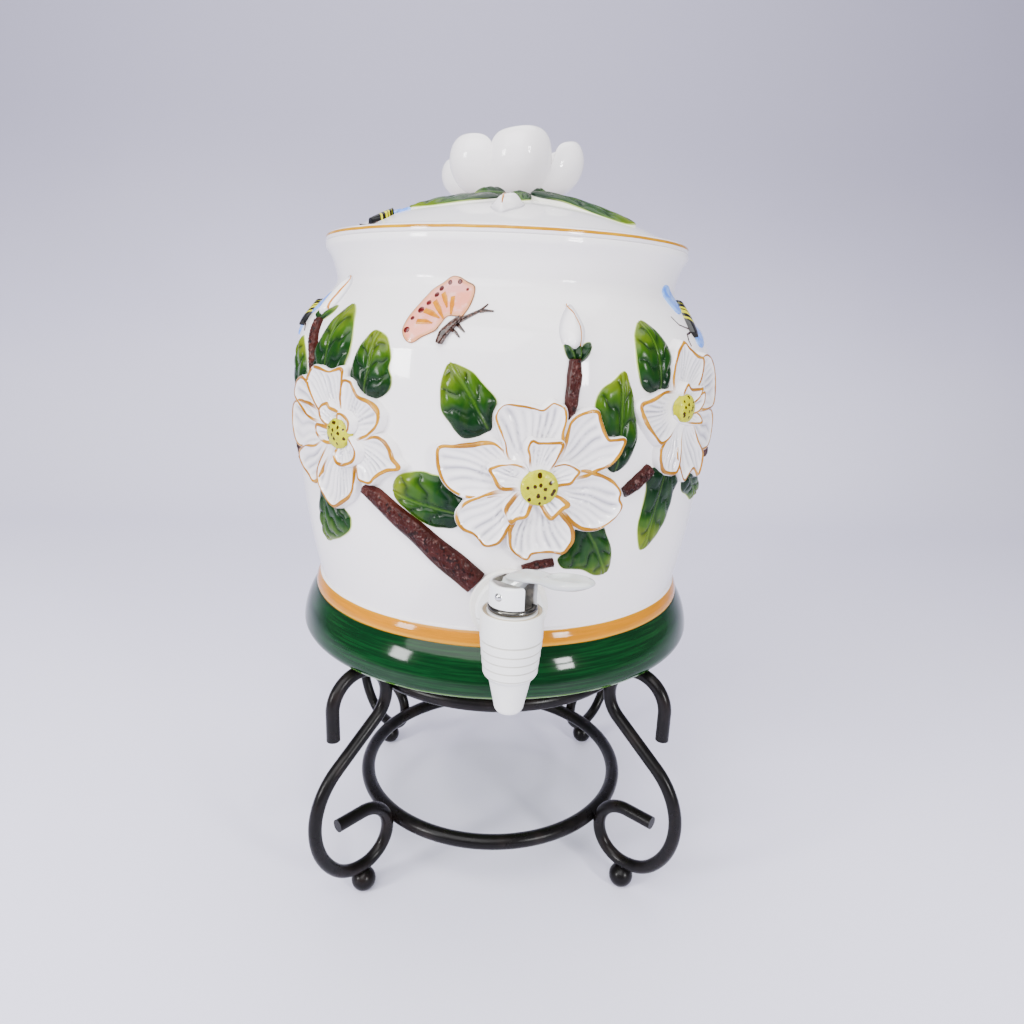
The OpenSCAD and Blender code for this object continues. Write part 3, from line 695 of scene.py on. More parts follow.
def petalForm(plan, low, high, seed):
    # a dished petal with a rounded rim and ridges that run out from the flower's middle
    def form(x, y, rim):
        d, a = np.hypot(x, y), np.arctan2(y, x)
        t = d / d.max()
        wobble = 0.9 * np.sin(a * 7 + seed) + 0.6 * np.sin(d * 0.24 + seed * 3)
        ridge = np.abs(np.sin(a * plan["ridges"] / 2 + wobble)) ** 0.75
        shown = ease(rim, 1.8, 4.6) * ease(t, 0.26, 0.5) * (0.7 + 0.3 * np.sin(a * 11 + seed * 5))
        inner = np.clip(rim - petalPlan["rim"], 0, None)
        edge = np.clip(1 - rim / petalPlan["rim"], 0, 1)
        h = (low + (high - low) * ease(t, 0.1, 0.95) - plan["dish"] * (1 - hill(inner, 3.6))
             + petalPlan["ridge"] * (ridge - 0.7) * shown + plan["lip"] * hill(inner, 1.2) * ease(t, 0.2, 0.7)
             - 1.5 * edge ** 2)
        # the grooves between the ridges are marked for painted shade
        return h, {"along": t, "hollow": (1 - ridge) ** 0.8 * shown, "lined": ease(t, 0.3, 0.5)}
    return form


dabPlaces = [(-0.05, 0.72, 1.7), (0.52, 0.32, 1.4), (0.74, -0.13, 1.3), (0.25, -0.02, 1.3), (0.01, 0.20, 1.3),
             (-0.29, 0.12, 1.4), (-0.64, 0.04, 1.2), (-0.10, -0.39, 1.5), (0.26, -0.51, 1.3),
             (0.63, -0.32, 1.3), (-0.53, -0.61, 1.4), (0.01, -0.82, 1.1)]  # across, up, size


def heartForm(plan, radius, spin):  # a domed heart with fine bumps
    low, high = plan["low"], plan["high"]

    def form(x, y, rim):
        x, y = (x - x.mean()) / radius, (y - y.mean()) / radius
        h = (low + (high - low) * np.sqrt(np.clip(1 - x * x - y * y, 0, 1))
             + 0.2 * np.sin(x * 24) * np.sin(y * 27))
        c, s = math.cos(spin), math.sin(spin)
        dab = sum(hill((x - px * c + py * s) / size, 0.082) * hill((y - px * s - py * c) / size, 0.105)
                  for px, py, size in dabPlaces)
        return h, {"heart": 1.0, "dab": np.clip(dab, 0, 1)}
    return form


def leafForm(stalk, tip, high, veins, seed=0.0):  # a midrib, with valleys that run out from it to the rim
    stalk, tip = np.array(stalk, float), np.array(tip, float)
    length = np.hypot(*(tip - stalk))
    d = (tip - stalk) / length

    def form(x, y, rim):
        s = ((x - stalk[0]) * d[0] + (y - stalk[1]) * d[1]) / length
        c = (x - stalk[0]) * d[1] - (y - stalk[1]) * d[0] - 1.2 * np.sin(s * 3.0 + seed)
        q = (s * veins - np.abs(c) / length * veins * 0.75 + np.where(c > 0, 0.45, 0)
             + 0.10 * np.sin(c * 0.8 + seed))
        valley = np.abs(np.sin(math.pi * q)) ** 0.5
        off = ease(np.abs(c), 0.7, 2.6) * ease(rim, 0.4, 2.4)
        rib, trough = hill(c, 0.6), hill(c, 1.7)
        h = (1.3 + (high - 1.7) * (1 - hill(rim, 3.0)) + 1.1 * (valley - 0.5) * off
             - 0.9 * trough + 0.75 * rib + 0.35 * np.sin(s * 5 + seed) - 0.6 * hill(rim, 0.45))
        # the valleys and the midrib's trough are marked for painted shade
        hollow = np.clip((1 - valley) * off * 1.2 + trough * 0.7 - rib, 0, 1)
        return h, {"along": np.clip(s, 0, 1), "hollow": hollow, "vein": rib * ease(rim, 0.5, 2)}
    return form


def flatForm(high, dome):
    def form(x, y, rim):
        h = high + dome * (1 - hill(rim, 1.6)) - 0.3 * hill(rim, 0.3)
        return h, {"along": (y - y.min()) / (y.max() - y.min())}
    return form


def stickTemplate(name, across, along):
    clear()
    bpy.ops.mesh.primitive_grid_add(x_subdivisions=across, y_subdivisions=along, size=2, location=(0, 0, 0))
    return named(name)


longStick = stickTemplate("longStick", 22, 84)
shortStick = stickTemplate("shortStick", 8, 26)


def stick(name, spine, widths, depth, place, template=None, bark=0.0, lift=0.0, seed=1.0):
    # a half-round bar along the spine; both ends are cut square
    obj = copied(template or longStick, name)
    u, v, _ = places(obj).T
    t = (v - v.min()) / (v.max() - v.min())
    spine = np.array(spine, float)
    step = np.concatenate([[0], np.cumsum(np.hypot(*np.diff(spine, axis=0).T))])
    rows = len(np.unique(np.round(t, 5)))
    lead = np.clip((t - 1 / (rows - 1)) / (1 - 2 / (rows - 1)), 0, 1)  # the end rows stand on the cut

    def at(s):
        return np.stack([np.interp(s, step / step[-1], spine[:, k]) for k in (0, 1)], 1)
    p = at(lead)
    d = at(np.clip(lead + 0.03, 0, 1)) - at(np.clip(lead - 0.03, 0, 1))
    d /= np.hypot(*d.T)[:, None]
    w = np.interp(lead, step / step[-1], widths) / 2
    w = w * (1 + bark * 0.03 * np.sin(lead * 19 + seed + u))
    p = p + np.stack([d[:, 1], -d[:, 0]], 1) * (u * w)[:, None]
    h = depth * np.sqrt(np.clip(1 - np.abs(u) ** 2.6, 0, 1))
    if bark:
        x, y = p.T
        rough = (np.sin(x * 1.9 + 2.3 * np.sin(y * 0.9 + seed)) * np.sin(y * 2.1 + 1.7 * np.sin(x * 1.1))
                 + 0.6 * np.sin(x * 4.3 + y * 1.3 + seed) * np.sin(y * 4.9 - x))
        h = h + bark * 0.3 * rough * ease(-np.abs(u + 0.12), -0.85, -0.5)
    lift = lift(p) if callable(lift) else lift
    side = (t < 1e-4) | (t > 1 - 1e-4) | (np.abs(u) > 0.999)
    h = np.where(side, lift - (0.3 if np.any(lift) else 0.6), lift + h)
    moved(obj, place(p[:, 0], p[:, 1], h))
    marked(obj, **{**plain, "along": lead, "middle": 1 - ease(np.abs(u + 0.12), 0.45, 0.85) if bark else 0.0})
    return faceOut(obj)


frontFlower = {
    "azimuth": 4.4, "height": 281.6, "heart": 9.2, "off": (2.0, -1.9), "spin": 0.0,
    "outer": {
        "left": [(-4, 6), (-13, 12), (-16, 16), (-20, 19), (-26, 19), (-31, 18), (-38, 17), (-46, 16),
                 (-47, 10), (-46, 4), (-43, -2), (-38, -6), (-33, -8), (-27, -8), (-18, -7), (-5, -6)],
        "lowerLeft": [(-5, -5), (-18, -5), (-27, -8), (-33, -11), (-37, -16), (-37, -21), (-34, -25),
                      (-29, -27), (-26, -30), (-23, -33), (-18, -32), (-15, -29), (-11, -22), (-2, -10)],
        "right": [(10, 0), (22, 6), (31, 4), (36, 2), (41, -1), (45, -6), (45, -10), (47, -14), (44, -19),
                  (39, -23), (34, -25), (28, -25), (23, -23), (17, -18), (8, -7)],
        "upperRight": [(10, 7), (13, 15), (15, 26), (16, 30), (19, 33), (24, 35), (29, 35), (31, 30),
                       (35, 22), (39, 21), (45, 21), (44, 17), (42, 13), (38, 9), (31, 6), (25, 3), (13, 2)],
        "bottom": [(-3, -6), (-8, -17), (-11, -24), (-11, -28), (-10, -34), (-6, -38), (-2, -40), (0, -37),
                   (4, -36), (10, -36), (16, -37), (19, -34), (21, -30), (20, -24), (15, -17), (5, -6)],
        "top": [(-6, 8), (-13, 12), (-15, 20), (-19, 30), (-19, 34), (-16, 38), (-10, 38), (-3, 37), (2, 36),
                (6, 39), (8, 39), (12, 37), (13, 32), (12, 25), (12, 20), (8, 8)],
    },
    "inner": {
        "right": [(5, 7), (11, 10), (15, 10), (19, 8), (21, 6), (19, 3), (17, 0), (13, -1), (5, -2)],
        "lowerRight": [(6, -2), (9, -5), (13, -7), (17, -11), (14, -13), (12, -15), (9, -18), (7, -17),
                       (4, -13), (0, -5)],
        "lowerLeft": [(-6, -3), (-12, -9), (-14, -13), (-13, -16), (-11, -20), (-8, -18), (-4, -17),
                      (-2, -13), (0, -5)],
        "left": [(-4, 6), (-9, 10), (-15, 10), (-19, 9), (-22, 7), (-20, 3), (-18, -1), (-15, -3), (-10, -3),
                 (-4, -3)],
        "top": [(-2, 6), (-4, 14), (-5, 18), (-3, 22), (0, 21), (3, 21), (7, 21), (11, 21), (12, 19),
                (10, 14), (8, 9), (5, 5)],
    },
    "leaves": [
        ([(-43, 56), (-39, 55), (-32, 52), (-28, 48), (-25, 45), (-21, 41), (-20, 38), (-22, 32), (-22, 26),
          (-25, 24), (-29, 22), (-35, 21), (-39, 24), (-42, 28), (-46, 33), (-47, 39), (-47, 46),
          (-45, 53)], (-22, 23), (-43, 56)),
        ([(46, 54), (49, 49), (52, 42), (54, 32), (56, 22), (54, 15), (50, 8), (43, 4), (38, 8), (37, 15),
          (35, 21), (35, 28), (32, 33), (30, 37), (31, 42), (34, 46), (39, 49)], (42, 5), (46, 54)),
        ([(-73, -9), (-70, -2), (-63, 1), (-56, 2), (-51, 1), (-46, 0), (-41, -4), (-36, -10), (-32, -17),
          (-39, -25), (-46, -26), (-51, -26), (-57, -24), (-62, -21), (-70, -15)], (-34, -19), (-73, -9)),
        ([(39, -24), (43, -31), (47, -39), (48, -48), (46, -53), (39, -53), (31, -49), (25, -48), (19, -47),
          (16, -42), (20, -38), (23, -33), (25, -23), (31, -19)], (26, -22), (46, -54)),
    ],
    "sticks": [
        ([(-91, -11), (-84, -14), (-74, -21), (-62, -29), (-50, -38.5), (-40, -46.5), (-31, -53.5),
          (-28, -56)],
         [6, 10, 11.5, 12.5, 14.5, 15.5, 15.5, 15], 4.2),
        ([(18, 60), (18.2, 52), (17.5, 46), (16.8, 38), (16, 29)], [6, 8, 7.5, 6.8, 2.5], 3.4),
        ([(50.3, -7.8), (57.6, -3.8), (67.4, 3.2)], [6, 8.5, 8], 3.4),
        ([(-4, -46), (4, -45), (13, -43.6)], [2.4, 5.6, 5.2], 3.0),
    ],
    "buds": [([(17, 63), (22, 66), (24.5, 73), (24, 78), (22, 83), (20, 85), (16, 82), (12.5, 77), (11, 72),
               (12.5, 66)],
              [(17.2, 85.5), (19.5, 82), (21.2, 76), (21, 70), (20.3, 64)])],
    "sepals": [([(18.5, 57.5), (14.5, 60), (12.6, 64), (12.6, 67.2), (16.4, 67),
                 (19.4, 63)], (18.5, 57.5), (6.7, 76.9)),
               ([(19.5, 57.5), (23.4, 59.4), (26.4, 63), (27.2, 67.4), (23.6, 67.2),
                 (20, 63)], (19.5, 57.5), (34.9, 77.3)),
               ([(17.4, 59), (21.6, 59), (23, 63), (20, 68), (17, 63)], (19.5, 58.5), (20.5, 77.5))],
}

leftFlower = {
    "azimuth": -42.1, "height": 298.3, "heart": 8.0, "off": (0, 0), "spin": 2.0,
    "outer": {
        "left": [(-12, 3), (-20, 9), (-32, 12), (-46, 12), (-56, 8), (-60, 0), (-58, -8), (-50, -13),
                 (-38, -13), (-24, -10), (-13, -4)],
        "upperLeft": [(-10, 4), (-18, 9), (-28, 20), (-37, 25), (-46, 23), (-51, 15), (-42, 10), (-28, 4)],
        "lowerLeft": [(-12, -4), (-24, -10), (-35, -12), (-44, -16), (-46, -20), (-42, -24), (-33, -28),
                      (-28, -31), (-22, -28), (-16, -20), (-8, -8)],
        "bottom": [(3, -5), (8, -13), (9, -17), (9, -22), (8, -29), (4, -34), (-2, -38), (-8, -41),
                   (-14, -38), (-20, -32), (-22, -27), (-20, -20), (-10, -6)],
        "upperRight": [(-1, 2), (0, 11), (1, 19), (4, 27), (9, 27), (11, 24), (14, 20), (21, 18), (25, 15),
                       (27, 12), (26, 7), (22, 3), (17, 0), (6, -3)],
        "top": [(-8, 2), (-16, 8), (-24, 17), (-29, 24), (-27, 28), (-22, 32), (-16, 32), (-7, 31), (1, 33),
                (3, 31), (2, 24), (1, 17), (0, 11), (-1, 2)],
        "right": [(3, 0), (15, -1), (24, 1), (29, 0), (33, -4), (35, -9), (39, -13), (32, -15), (28, -17),
                  (24, -20), (21, -23), (17, -23), (13, -22), (11, -16), (5, -7)],
    },
    "inner": {
        "top": [(-7, 2), (-13, 6), (-14, 11), (-11, 14), (-7, 15), (-5, 13), (-1, 12), (2, 11), (1, 6),
                (-2, 2)],
        "right": [(0, 4), (1, 10), (4, 11), (8, 9), (10, 6), (8, 2), (3, 0)],
        "bottom": [(1, -2), (-2, -9), (-3, -12), (0, -16), (6, -16), (12, -13), (14, -8), (12, -4), (6, -1)],
        "left": [(-5, 1), (-11, 3), (-16, 3), (-16, -2), (-10, -6), (-4, -5)],
    },
    "leaves": [
        ([(-11, 65), (-3, 60), (3, 50), (3, 42), (0, 36), (-4, 28), (-27, 26), (-29, 38), (-26, 44),
          (-22, 50), (-20, 56), (-16, 62)], (-17, 26), (-11, 65)),
        ([(21, 52), (27, 49), (30, 41), (29, 35), (31, 30), (30, 25), (25, 21), (18, 20), (10, 24), (5, 27),
          (6, 36), (9, 43), (13, 48), (17, 52)], (14, 22), (22, 52)),
        ([(-53, 47), (-46, 41), (-42, 31), (-42, 22), (-50, 14), (-60, 15), (-66, 22), (-68, 32),
          (-62, 41)], (-53, 14), (-54, 47)),
        ([(-26, -33), (-18, -32), (-11, -39), (-2, -45), (0, -48), (-2, -54), (-11, -60), (-21, -64),
          (-29, -66), (-32, -56), (-31, -44)], (-22, -32), (-27, -66)),
    ],
    "sticks": [
        ([(-36, 57), (-33, 46), (-31, 36), (-30, 26)], [7, 8, 8, 6], 3.4),
        ([(-62, -2), (-58, -12), (-53, -22)], [6, 7, 7], 3.4),
    ],
    "buds": [([(-37, 58), (-31, 62), (-30, 70), (-34, 78), (-40, 80), (-45, 74), (-45, 65),
               (-42, 59)], [(-36, 80), (-33, 70), (-33, 62)])],
    "sepals": [([(-36, 56), (-42, 57), (-45, 61), (-44, 65), (-39, 63)], (-36, 56), (-45, 64)),
               ([(-36, 56), (-30, 57), (-26, 60), (-26, 64), (-32, 63)], (-36, 56), (-26, 64))],
}

rightFlower = {
    "azimuth": 43.7, "height": 316.2, "heart": 7.5, "off": (0, 0), "spin": 4.0,
    "outer": {
        "right": [(12, -2), (28, -2), (44, -5), (52, -11), (51, -19), (43, -25), (30, -26), (21, -21),
                  (15, -14), (10, -5)],
        "lowerLeft": [(2, -4), (-10, -13), (-16, -18), (-18, -22), (-17, -28), (-13, -33), (-4, -35),
                      (-1, -32), (0, -24), (1, -15), (5, -5)],
        "upperRight": [(10, 2), (16, 12), (19, 25), (28, 27), (38, 23), (47, 15), (51, 6), (47, -1), (32, -3),
                       (15, -2)],
        "bottom": [(6, -5), (0, -17), (-2, -25), (1, -33), (6, -40), (11, -37), (17, -35), (26, -40),
                   (30, -34), (29, -27), (21, -20), (11, -5)],
        "top": [(3, 2), (-5, 6), (-10, 13), (-11, 20), (-10, 25), (-7, 30), (-1, 34), (3, 31), (12, 27),
                (19, 25), (18, 16), (15, 10), (11, 2)],
        "left": [(3, 0), (-3, 4), (-6, 8), (-11, 9), (-18, 9), (-26, 6), (-35, 3), (-32, -4), (-27, -10),
                 (-22, -15), (-18, -17), (-11, -14), (-5, -9), (3, -4)],
    },
    "inner": {
        "low": [(-3, 2), (-6, 0), (-5, -5), (2, -8), (10, -9), (18, -9), (12, -3), (4, -2)],
        "right": [(6, 2), (11, 6), (18, 8), (18, 2), (12, -3), (6, -3)],
        "top": [(1, 1), (-3, 7), (-3, 10), (-1, 13), (2, 11), (5, 10), (11, 10), (15, 10), (12, 5), (6, 1)],
    },
    "leaves": [
        ([(-25, 44), (-33, 38), (-35, 32), (-35, 24), (-32, 14), (-28, 10), (-22, 9), (-13, 9), (-10, 18),
          (-10, 28), (-13, 35), (-18, 41)], (-19, 9), (-26, 44)),
        ([(-22, -32), (-22, -43), (-23, -54), (-24, -61), (-23, -68), (-19, -77), (-13, -76), (-4, -68),
          (1, -58), (2, -48), (5, -40), (-5, -32)], (-9, -32), (-19, -77)),
        ([(13, -40), (15, -48), (24, -52), (34, -57), (42, -54), (42, -46), (34, -40), (24, -36)],
         (17, -38), (36, -57)),
    ],
    "sticks": [([(46, -22), (54, -27), (60, -33)], [6, 7, 7], 3.2)],
    "buds": [], "sepals": [],
}


def spray(name, plan):  # a flower with its buds, leaves and branches
    place = onWall(plan["azimuth"], plan["height"], plan.get("turn", 0))
    petals = []
    for i, (which, outline) in enumerate(plan["outer"].items()):
        low, high = petalPlan["low"] + 0.25 * (i % 3), petalPlan["high"] + petalPlan["step"] * i
        form = petalForm(petalPlan, low, high, i * 1.7)
        petals.append(relief(name + which, outline, place, form, flare=0.5, grow=petalPlan["rim"]))
    for i, (which, outline) in enumerate(plan["inner"].items()):
        up = innerPlan["step"] * i
        form = petalForm(innerPlan, innerPlan["low"] + up, innerPlan["high"] + up, i * 2.3)
        petals.append(relief(name + "inner" + which, outline, place, form, midDisc,
                             sink=1.5, flare=0.4, grow=innerPlan["grow"]))
    r = plan["heart"]
    form = heartForm(heartPlan, r, plan["spin"])
    petals.append(relief(name + "heart", oval(*plan["off"], r, r, 16), place, form, midDisc, sink=2.0))
    for outline, line in plan["buds"]:
        petals.append(relief(name + "bud", outline, place, budForm(budPlan), midDisc))
        budLine = stick(name + "budLine", line, [0.5] + [1.1] * (len(line) - 1), 0.4, place, shortStick,
                        lift=onBud(outline, budPlan))
        finish(budLine, "crock", "amberPaint")
    finish(joined(name + "Petals", petals), "crock", "petal", 50)
    leaves = []
    for i, (outline, stalk, tip) in enumerate(plan["leaves"]):
        form = leafForm(stalk, tip, leafPlan["high"], leafPlan["veins"], i * 1.3)
        leaves.append(relief(name + "leaf", outline, place, form, flare=0.45, grow=0.3))
    for outline, stalk, tip in plan["sepals"]:
        form = leafForm(stalk, tip, leafPlan["sepalHigh"], leafPlan["sepalVeins"])
        leaves.append(relief(name + "sepal", outline, place, form, midDisc))
    finish(joined(name + "Leaves", leaves), "crock", "leaf", 50)
    sticks = [stick(name + "stick", spine, widths, depth, place, bark=1.0, seed=i * 2.1)
              for i, (spine, widths, depth) in enumerate(plan["sticks"])]
    return finish(joined(name + "Branches", sticks), "crock", "bark", 70)


front = spray("front", frontFlower)
spray("left", leftFlower)
spray("right", rightFlower)
spray("back", {**frontFlower, "azimuth": 182, "height": 288, "turn": 12})
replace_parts(front, "relief_flowers", "relief_leaves", "relief_branches")
print("relief modelled")


# butterfly and bees
flyPlan = {
    "azimuth": -18.7, "height": 357.0,
    "wing": [(0, -5), (-6, -8), (-11, -11), (-15, -10), (-18, -6), (-18, -2), (-17, 2), (-15, 6), (-12, 11),
             (-9, 15), (-4, 18), (1, 21), (6, 21), (11, 19), (16, 17), (17, 13), (16, 8), (14, 4), (12, 2),
             (5, 2), (2, -2)],
    "dots": [(-15, -5, 1.9), (-14, 0.5, 1.4), (-11, 4.5, 2.1), (-8, 8, 1.8), (-5, 12, 1.75), (-3.4, 15, 1.7),
             (1, 18, 1.6), (7, 18.5, 1.6), (12.5, 15, 1.2)],
    "streaks": [((-11, -1), (-2, -1.5)), ((-9, 4.5), (1, 1)), ((-5, 9), (3, 1)), ((-1.5, 13), (3.5, 6)),
                ((5, 11.5), (6.5, 3))],
    "body": [(3, -10.5), (4.5, -6), (8, -2), (12, 2)],
    "antennae": [[(11, 0), (16, 2.5), (22, 5.5), (25.5, 8.5)], [(21.5, 5), (25, 5.3), (29, 5.2)]],
    "legs": [[(8.5, -4), (11, -5.5), (13, -7.5)], [(11, -1.5), (13, -3.2), (15.3, -5)]],
}


def butterfly(plan):
    place = onWall(plan["azimuth"], plan["height"])
    wing = relief("butterflyWing", plan["wing"], place, flatForm(1.0, 0.5))
    finish(wing, "crock", "wing", 50)
    dots = [relief("dot", oval(x, y, r, 0.9 * r, 8), place, flatForm(1.62, 0.15), smallDisc, 0.8, 0.05)
            for x, y, r in plan["dots"]]
    finish(joined("butterflyDots", dots), "crock", "redPaint")
    streaks = []
    for (ax, ay), (bx, by) in plan["streaks"]:
        line = [(ax, ay), ((ax + bx) / 2, (ay + by) / 2 + 0.4), (bx, by)]
        streaks.append(stick("streak", line, [3.0, 3.2, 0.9], 0.22, place, shortStick, lift=1.5))
    finish(joined("butterflyStreaks", streaks), "crock", "amberPaint")
    body = [stick("body", plan["body"], [3.6, 5.2, 4.6, 3.0], 2.4, place, shortStick, bark=0.5, lift=0.8)]
    body += [stick("antenna", line, [3.0, 2.4, 1.6, 0.9][-len(line):], 0.8, place, shortStick)
             for line in plan["antennae"]]
    body += [stick("leg", line, [2.0, 1.6, 0.8], 0.7, place, shortStick) for line in plan["legs"]]
    finish(joined("butterflyBody", body), "crock", "brownPaint")


beePlans = {
    "beeRight": {"azimuth": 57.0, "height": 363.0, "body": [(16, 8.5), (9, 2.5), (1, -3.5), (-6, -9)],
                 "wings": [[(5, 3.6), (-5.5, 1.8), (-8.7, 4.9), (-10, 10), (-8, 14.5), (-3, 17), (6, 15.5),
                            (12, 10)],
                           [(10, -2.5), (2, -6), (-2.5, -10), (-3, -14), (5, -16), (14, -12), (18, -6)]],
                 "feelers": [[(-6, -6), (-12, -5), (-17, -4), (-20.5, 0)],
                             [(-8, -8), (-14, -9), (-15.5, -12), (-14, -15)]]},
    "beeLeft": {"azimuth": -73.0, "height": 358.0, "body": [(-8, 7), (-3, 1), (4, -6)],
                "wings": [[(-2, 3), (2, 8), (8, 12), (13, 8), (9, 3), (2, 0)],
                          [(-4, -2), (-11, -4), (-15, -10), (-10, -13), (-4, -8)]],
                "feelers": [[(4, -6), (9, -7), (13, -10)]]},
}


def bee(name, plan, place, body="crock"):
    wings = [relief("wing", outline, place, flatForm(0.9, 0.3), smallDisc) for outline in plan["wings"]]
    finish(joined(name + "Wings", wings), body, "bluePaint")
    widths = np.interp(np.linspace(0, 1, len(plan["body"])), [0, 0.5, 1], [3.5, 7, 4.5])
    finish(stick(name + "Body", plan["body"], widths, 3.4, place, shortStick), body, "bee")
    feelers = [stick("feeler", line, np.linspace(1.1, 0.6, len(line)), 0.5, place, shortStick)
               for line in plan["feelers"]]
    finish(joined(name + "Feelers", feelers), body, "brownPaint")


butterfly(flyPlan)
for name, plan in beePlans.items():
    bee(name, plan, onWall(plan["azimuth"], plan["height"]))
print("butterfly and bees modelled")


# lid
lidPlan = {"low": 398.546, "top": 428.546, "sag": 6.1, "wall": 5.5}


def dome(count):
    return bow((100, lidPlan["low"] + 5), (0, lidPlan["top"]), lidPlan["sag"], count)


def lidProfile():
    z, upper = lidPlan["low"], dome(36)
    under = bow((89, z + 2.6), (0, lidPlan["top"] - lidPlan["wall"]), 4.6, 20)[::-1]
    return (rounded([(109.0, z), (109.6, z + 0.5), (109.7, z + 3.0), (108.4, z + 4.2), (104, z + 4.6),
                     upper[0]], 0.9)
            + upper[1:] + under
            + rounded([(89, z + 2.6), (89, z - 10), (91.5, z - 12), (93.5, z - 12), (94.5, z - 10), (94.5, z),
                       (109.0, z)], 1.5))


domeLine = np.array(dome(60))[::-1]
lid = turned("lidDome", lidProfile(), 192)
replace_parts(finish(lid, "lid", "lid", 60), "lid")


def onDome(x, y, h):
    r = np.hypot(x, y)
    z = np.interp(r, domeLine[:, 0], domeLine[:, 1])
    return np.stack([x, y, z + h], 1)


lidLeaves = {  # outline, stalk, tip, and how far the back edge stands up
    "left": ([(-57, -49), (-50, -55), (-40, -60), (-28, -61), (-16, -59), (-6, -53), (-5, -48), (-14, -46.5),
              (-27, -46), (-40, -46), (-50, -47)],
             (-6, -51), (-57, -49), 1.2),
    "right": ([(9, -49), (14, -54), (26, -55), (38, -60), (50, -63), (59, -62), (67, -54), (62, -52),
               (52, -49.5), (38, -47.5), (24, -46), (13, -45.5)],
              (10, -47), (67, -54), 3.0),
    "backRight": ([(10, 20), (20, 24), (30, 36), (35, 50), (36, 60), (26, 55), (15, 42),
                   (9, 29)], (11, 21), (36, 60), 0.0),
    "backLeft": ([(-10, 20), (-20, 24), (-30, 36), (-35, 50), (-36, 60), (-26, 55), (-15, 42),
                  (-9, 29)], (-11, 21),
                 (-36, 60), 0.0),
    "calyxLeft": ([(-5, -50), (-12, -55), (-20, -56), (-23, -52), (-18, -46),
                   (-9, -44)], (-5, -48), (-23, -52), 4.0),
    "calyxRight": ([(11, -50), (16, -52), (19, -48), (17, -42), (11, -42)], (11, -46), (19, -47), 4.0),
    "budCalyx": ([(-2, -58), (3, -60), (8, -58), (8, -51), (2, -49), (-3, -52)], (9, -52), (-3, -57), 2.4),
}


def tilted(form, up):  # raises the back of a leaf
    def raised(x, y, rim):
        h, marks = form(x, y, rim)
        return h + up * ease(y, y.min(), y.max()), marks
    return raised


leaves = []
for i, (which, (outline, stalk, tip, up)) in enumerate(lidLeaves.items()):
    form = tilted(leafForm(stalk, tip, 2.4, 4.0, i * 1.1), up)
    leaves.append(relief("lidLeaf" + which, outline, onDome, form, midDisc, grow=0.3))
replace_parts(finish(joined("lidLeaves", leaves), "lid", "leaf", 50), "lid_leaves")


# the last entry of a bud's plan sets how strong the painted shade round its edge is
lidBud = {"outline": [(-9, -86), (-13, -79), (-13, -72), (-9, -66), (-2, -63), (3, -65), (4, -71), (1, -77),
                      (-4, -82)],
          "line": [(-2.4, -65.5), (-5.6, -68), (-7.2, -72), (-7.4, -77), (-8.2, -82)],
          "low": 0.8, "high": 4.9, "spread": 3.2, "hollow": 0.5}
finish(relief("lidBud", lidBud["outline"], onDome, budForm(lidBud), midDisc), "lid", "petal")
lidBudLine = stick("lidBudLine", lidBud["line"], [0.8, 1.4, 1.5, 1.3, 0.7], 0.5, onDome, shortStick,
                   lift=onBud(lidBud["outline"], lidBud))
finish(lidBudLine, "lid", "amberPaint")
lidBee = {"body": [(-66, -53), (-71, -57), (-77, -61)],
          "wings": [[(-63, -52), (-57, -51), (-50, -47), (-48, -43), (-55, -44), (-62, -48)],
                    [(-64, -49), (-62, -43), (-65, -37), (-71, -39), (-71, -46), (-67, -51)]],
          "feelers": [[(-73, -61), (-78, -60), (-82, -58)], [(-73, -62), (-78, -65), (-82, -66)]]}
bee("lidBee", lidBee, onDome, "lid")

knobPlan = {
    "thick": 4.5, "curl": 25, "square": 4.6, "half": [16, 20.5, 21, 19.0, 16.5],
    "heart": {"radius": 9, "low": 12.5, "high": 17.0, "spin": 0.6},
    "line": [(8, 3.6), (37, 1.5), (42.0, 21.5), (34.5, 32.9)],
    "open": [(8, 3.6), (36, 0.5), (43.5, 12), (37.5, 24.5)],
    "wide": [(8, 3.6), (39, 1.5), (45.0, 20.5), (37.5, 32.5)],
    "petals": [(8, "line", 1.0), (70, "wide", 0.91), (126, "line", 0.95), (189, "line", 0.95),
               (247, "open", 0.9), (309, "line", 0.88)],  # angle, curve, and how tall
    "core": [(0, -3), (17, -3.5), (18, -1), (24, 3), (28, 10), (27, 15), (20, 11), (9, 10.5), (0, 11)],
}


def curve(a, b, c, d, t):
    return (1 - t) ** 3 * a + 3 * t * (1 - t) ** 2 * b + 3 * t * t * (1 - t) * c + t ** 3 * d


def slope(a, b, c, d, t):  # a third of the curve's
    return (1 - t) ** 2 * (b - a) + 2 * t * (1 - t) * (c - b) + t * t * (d - c)


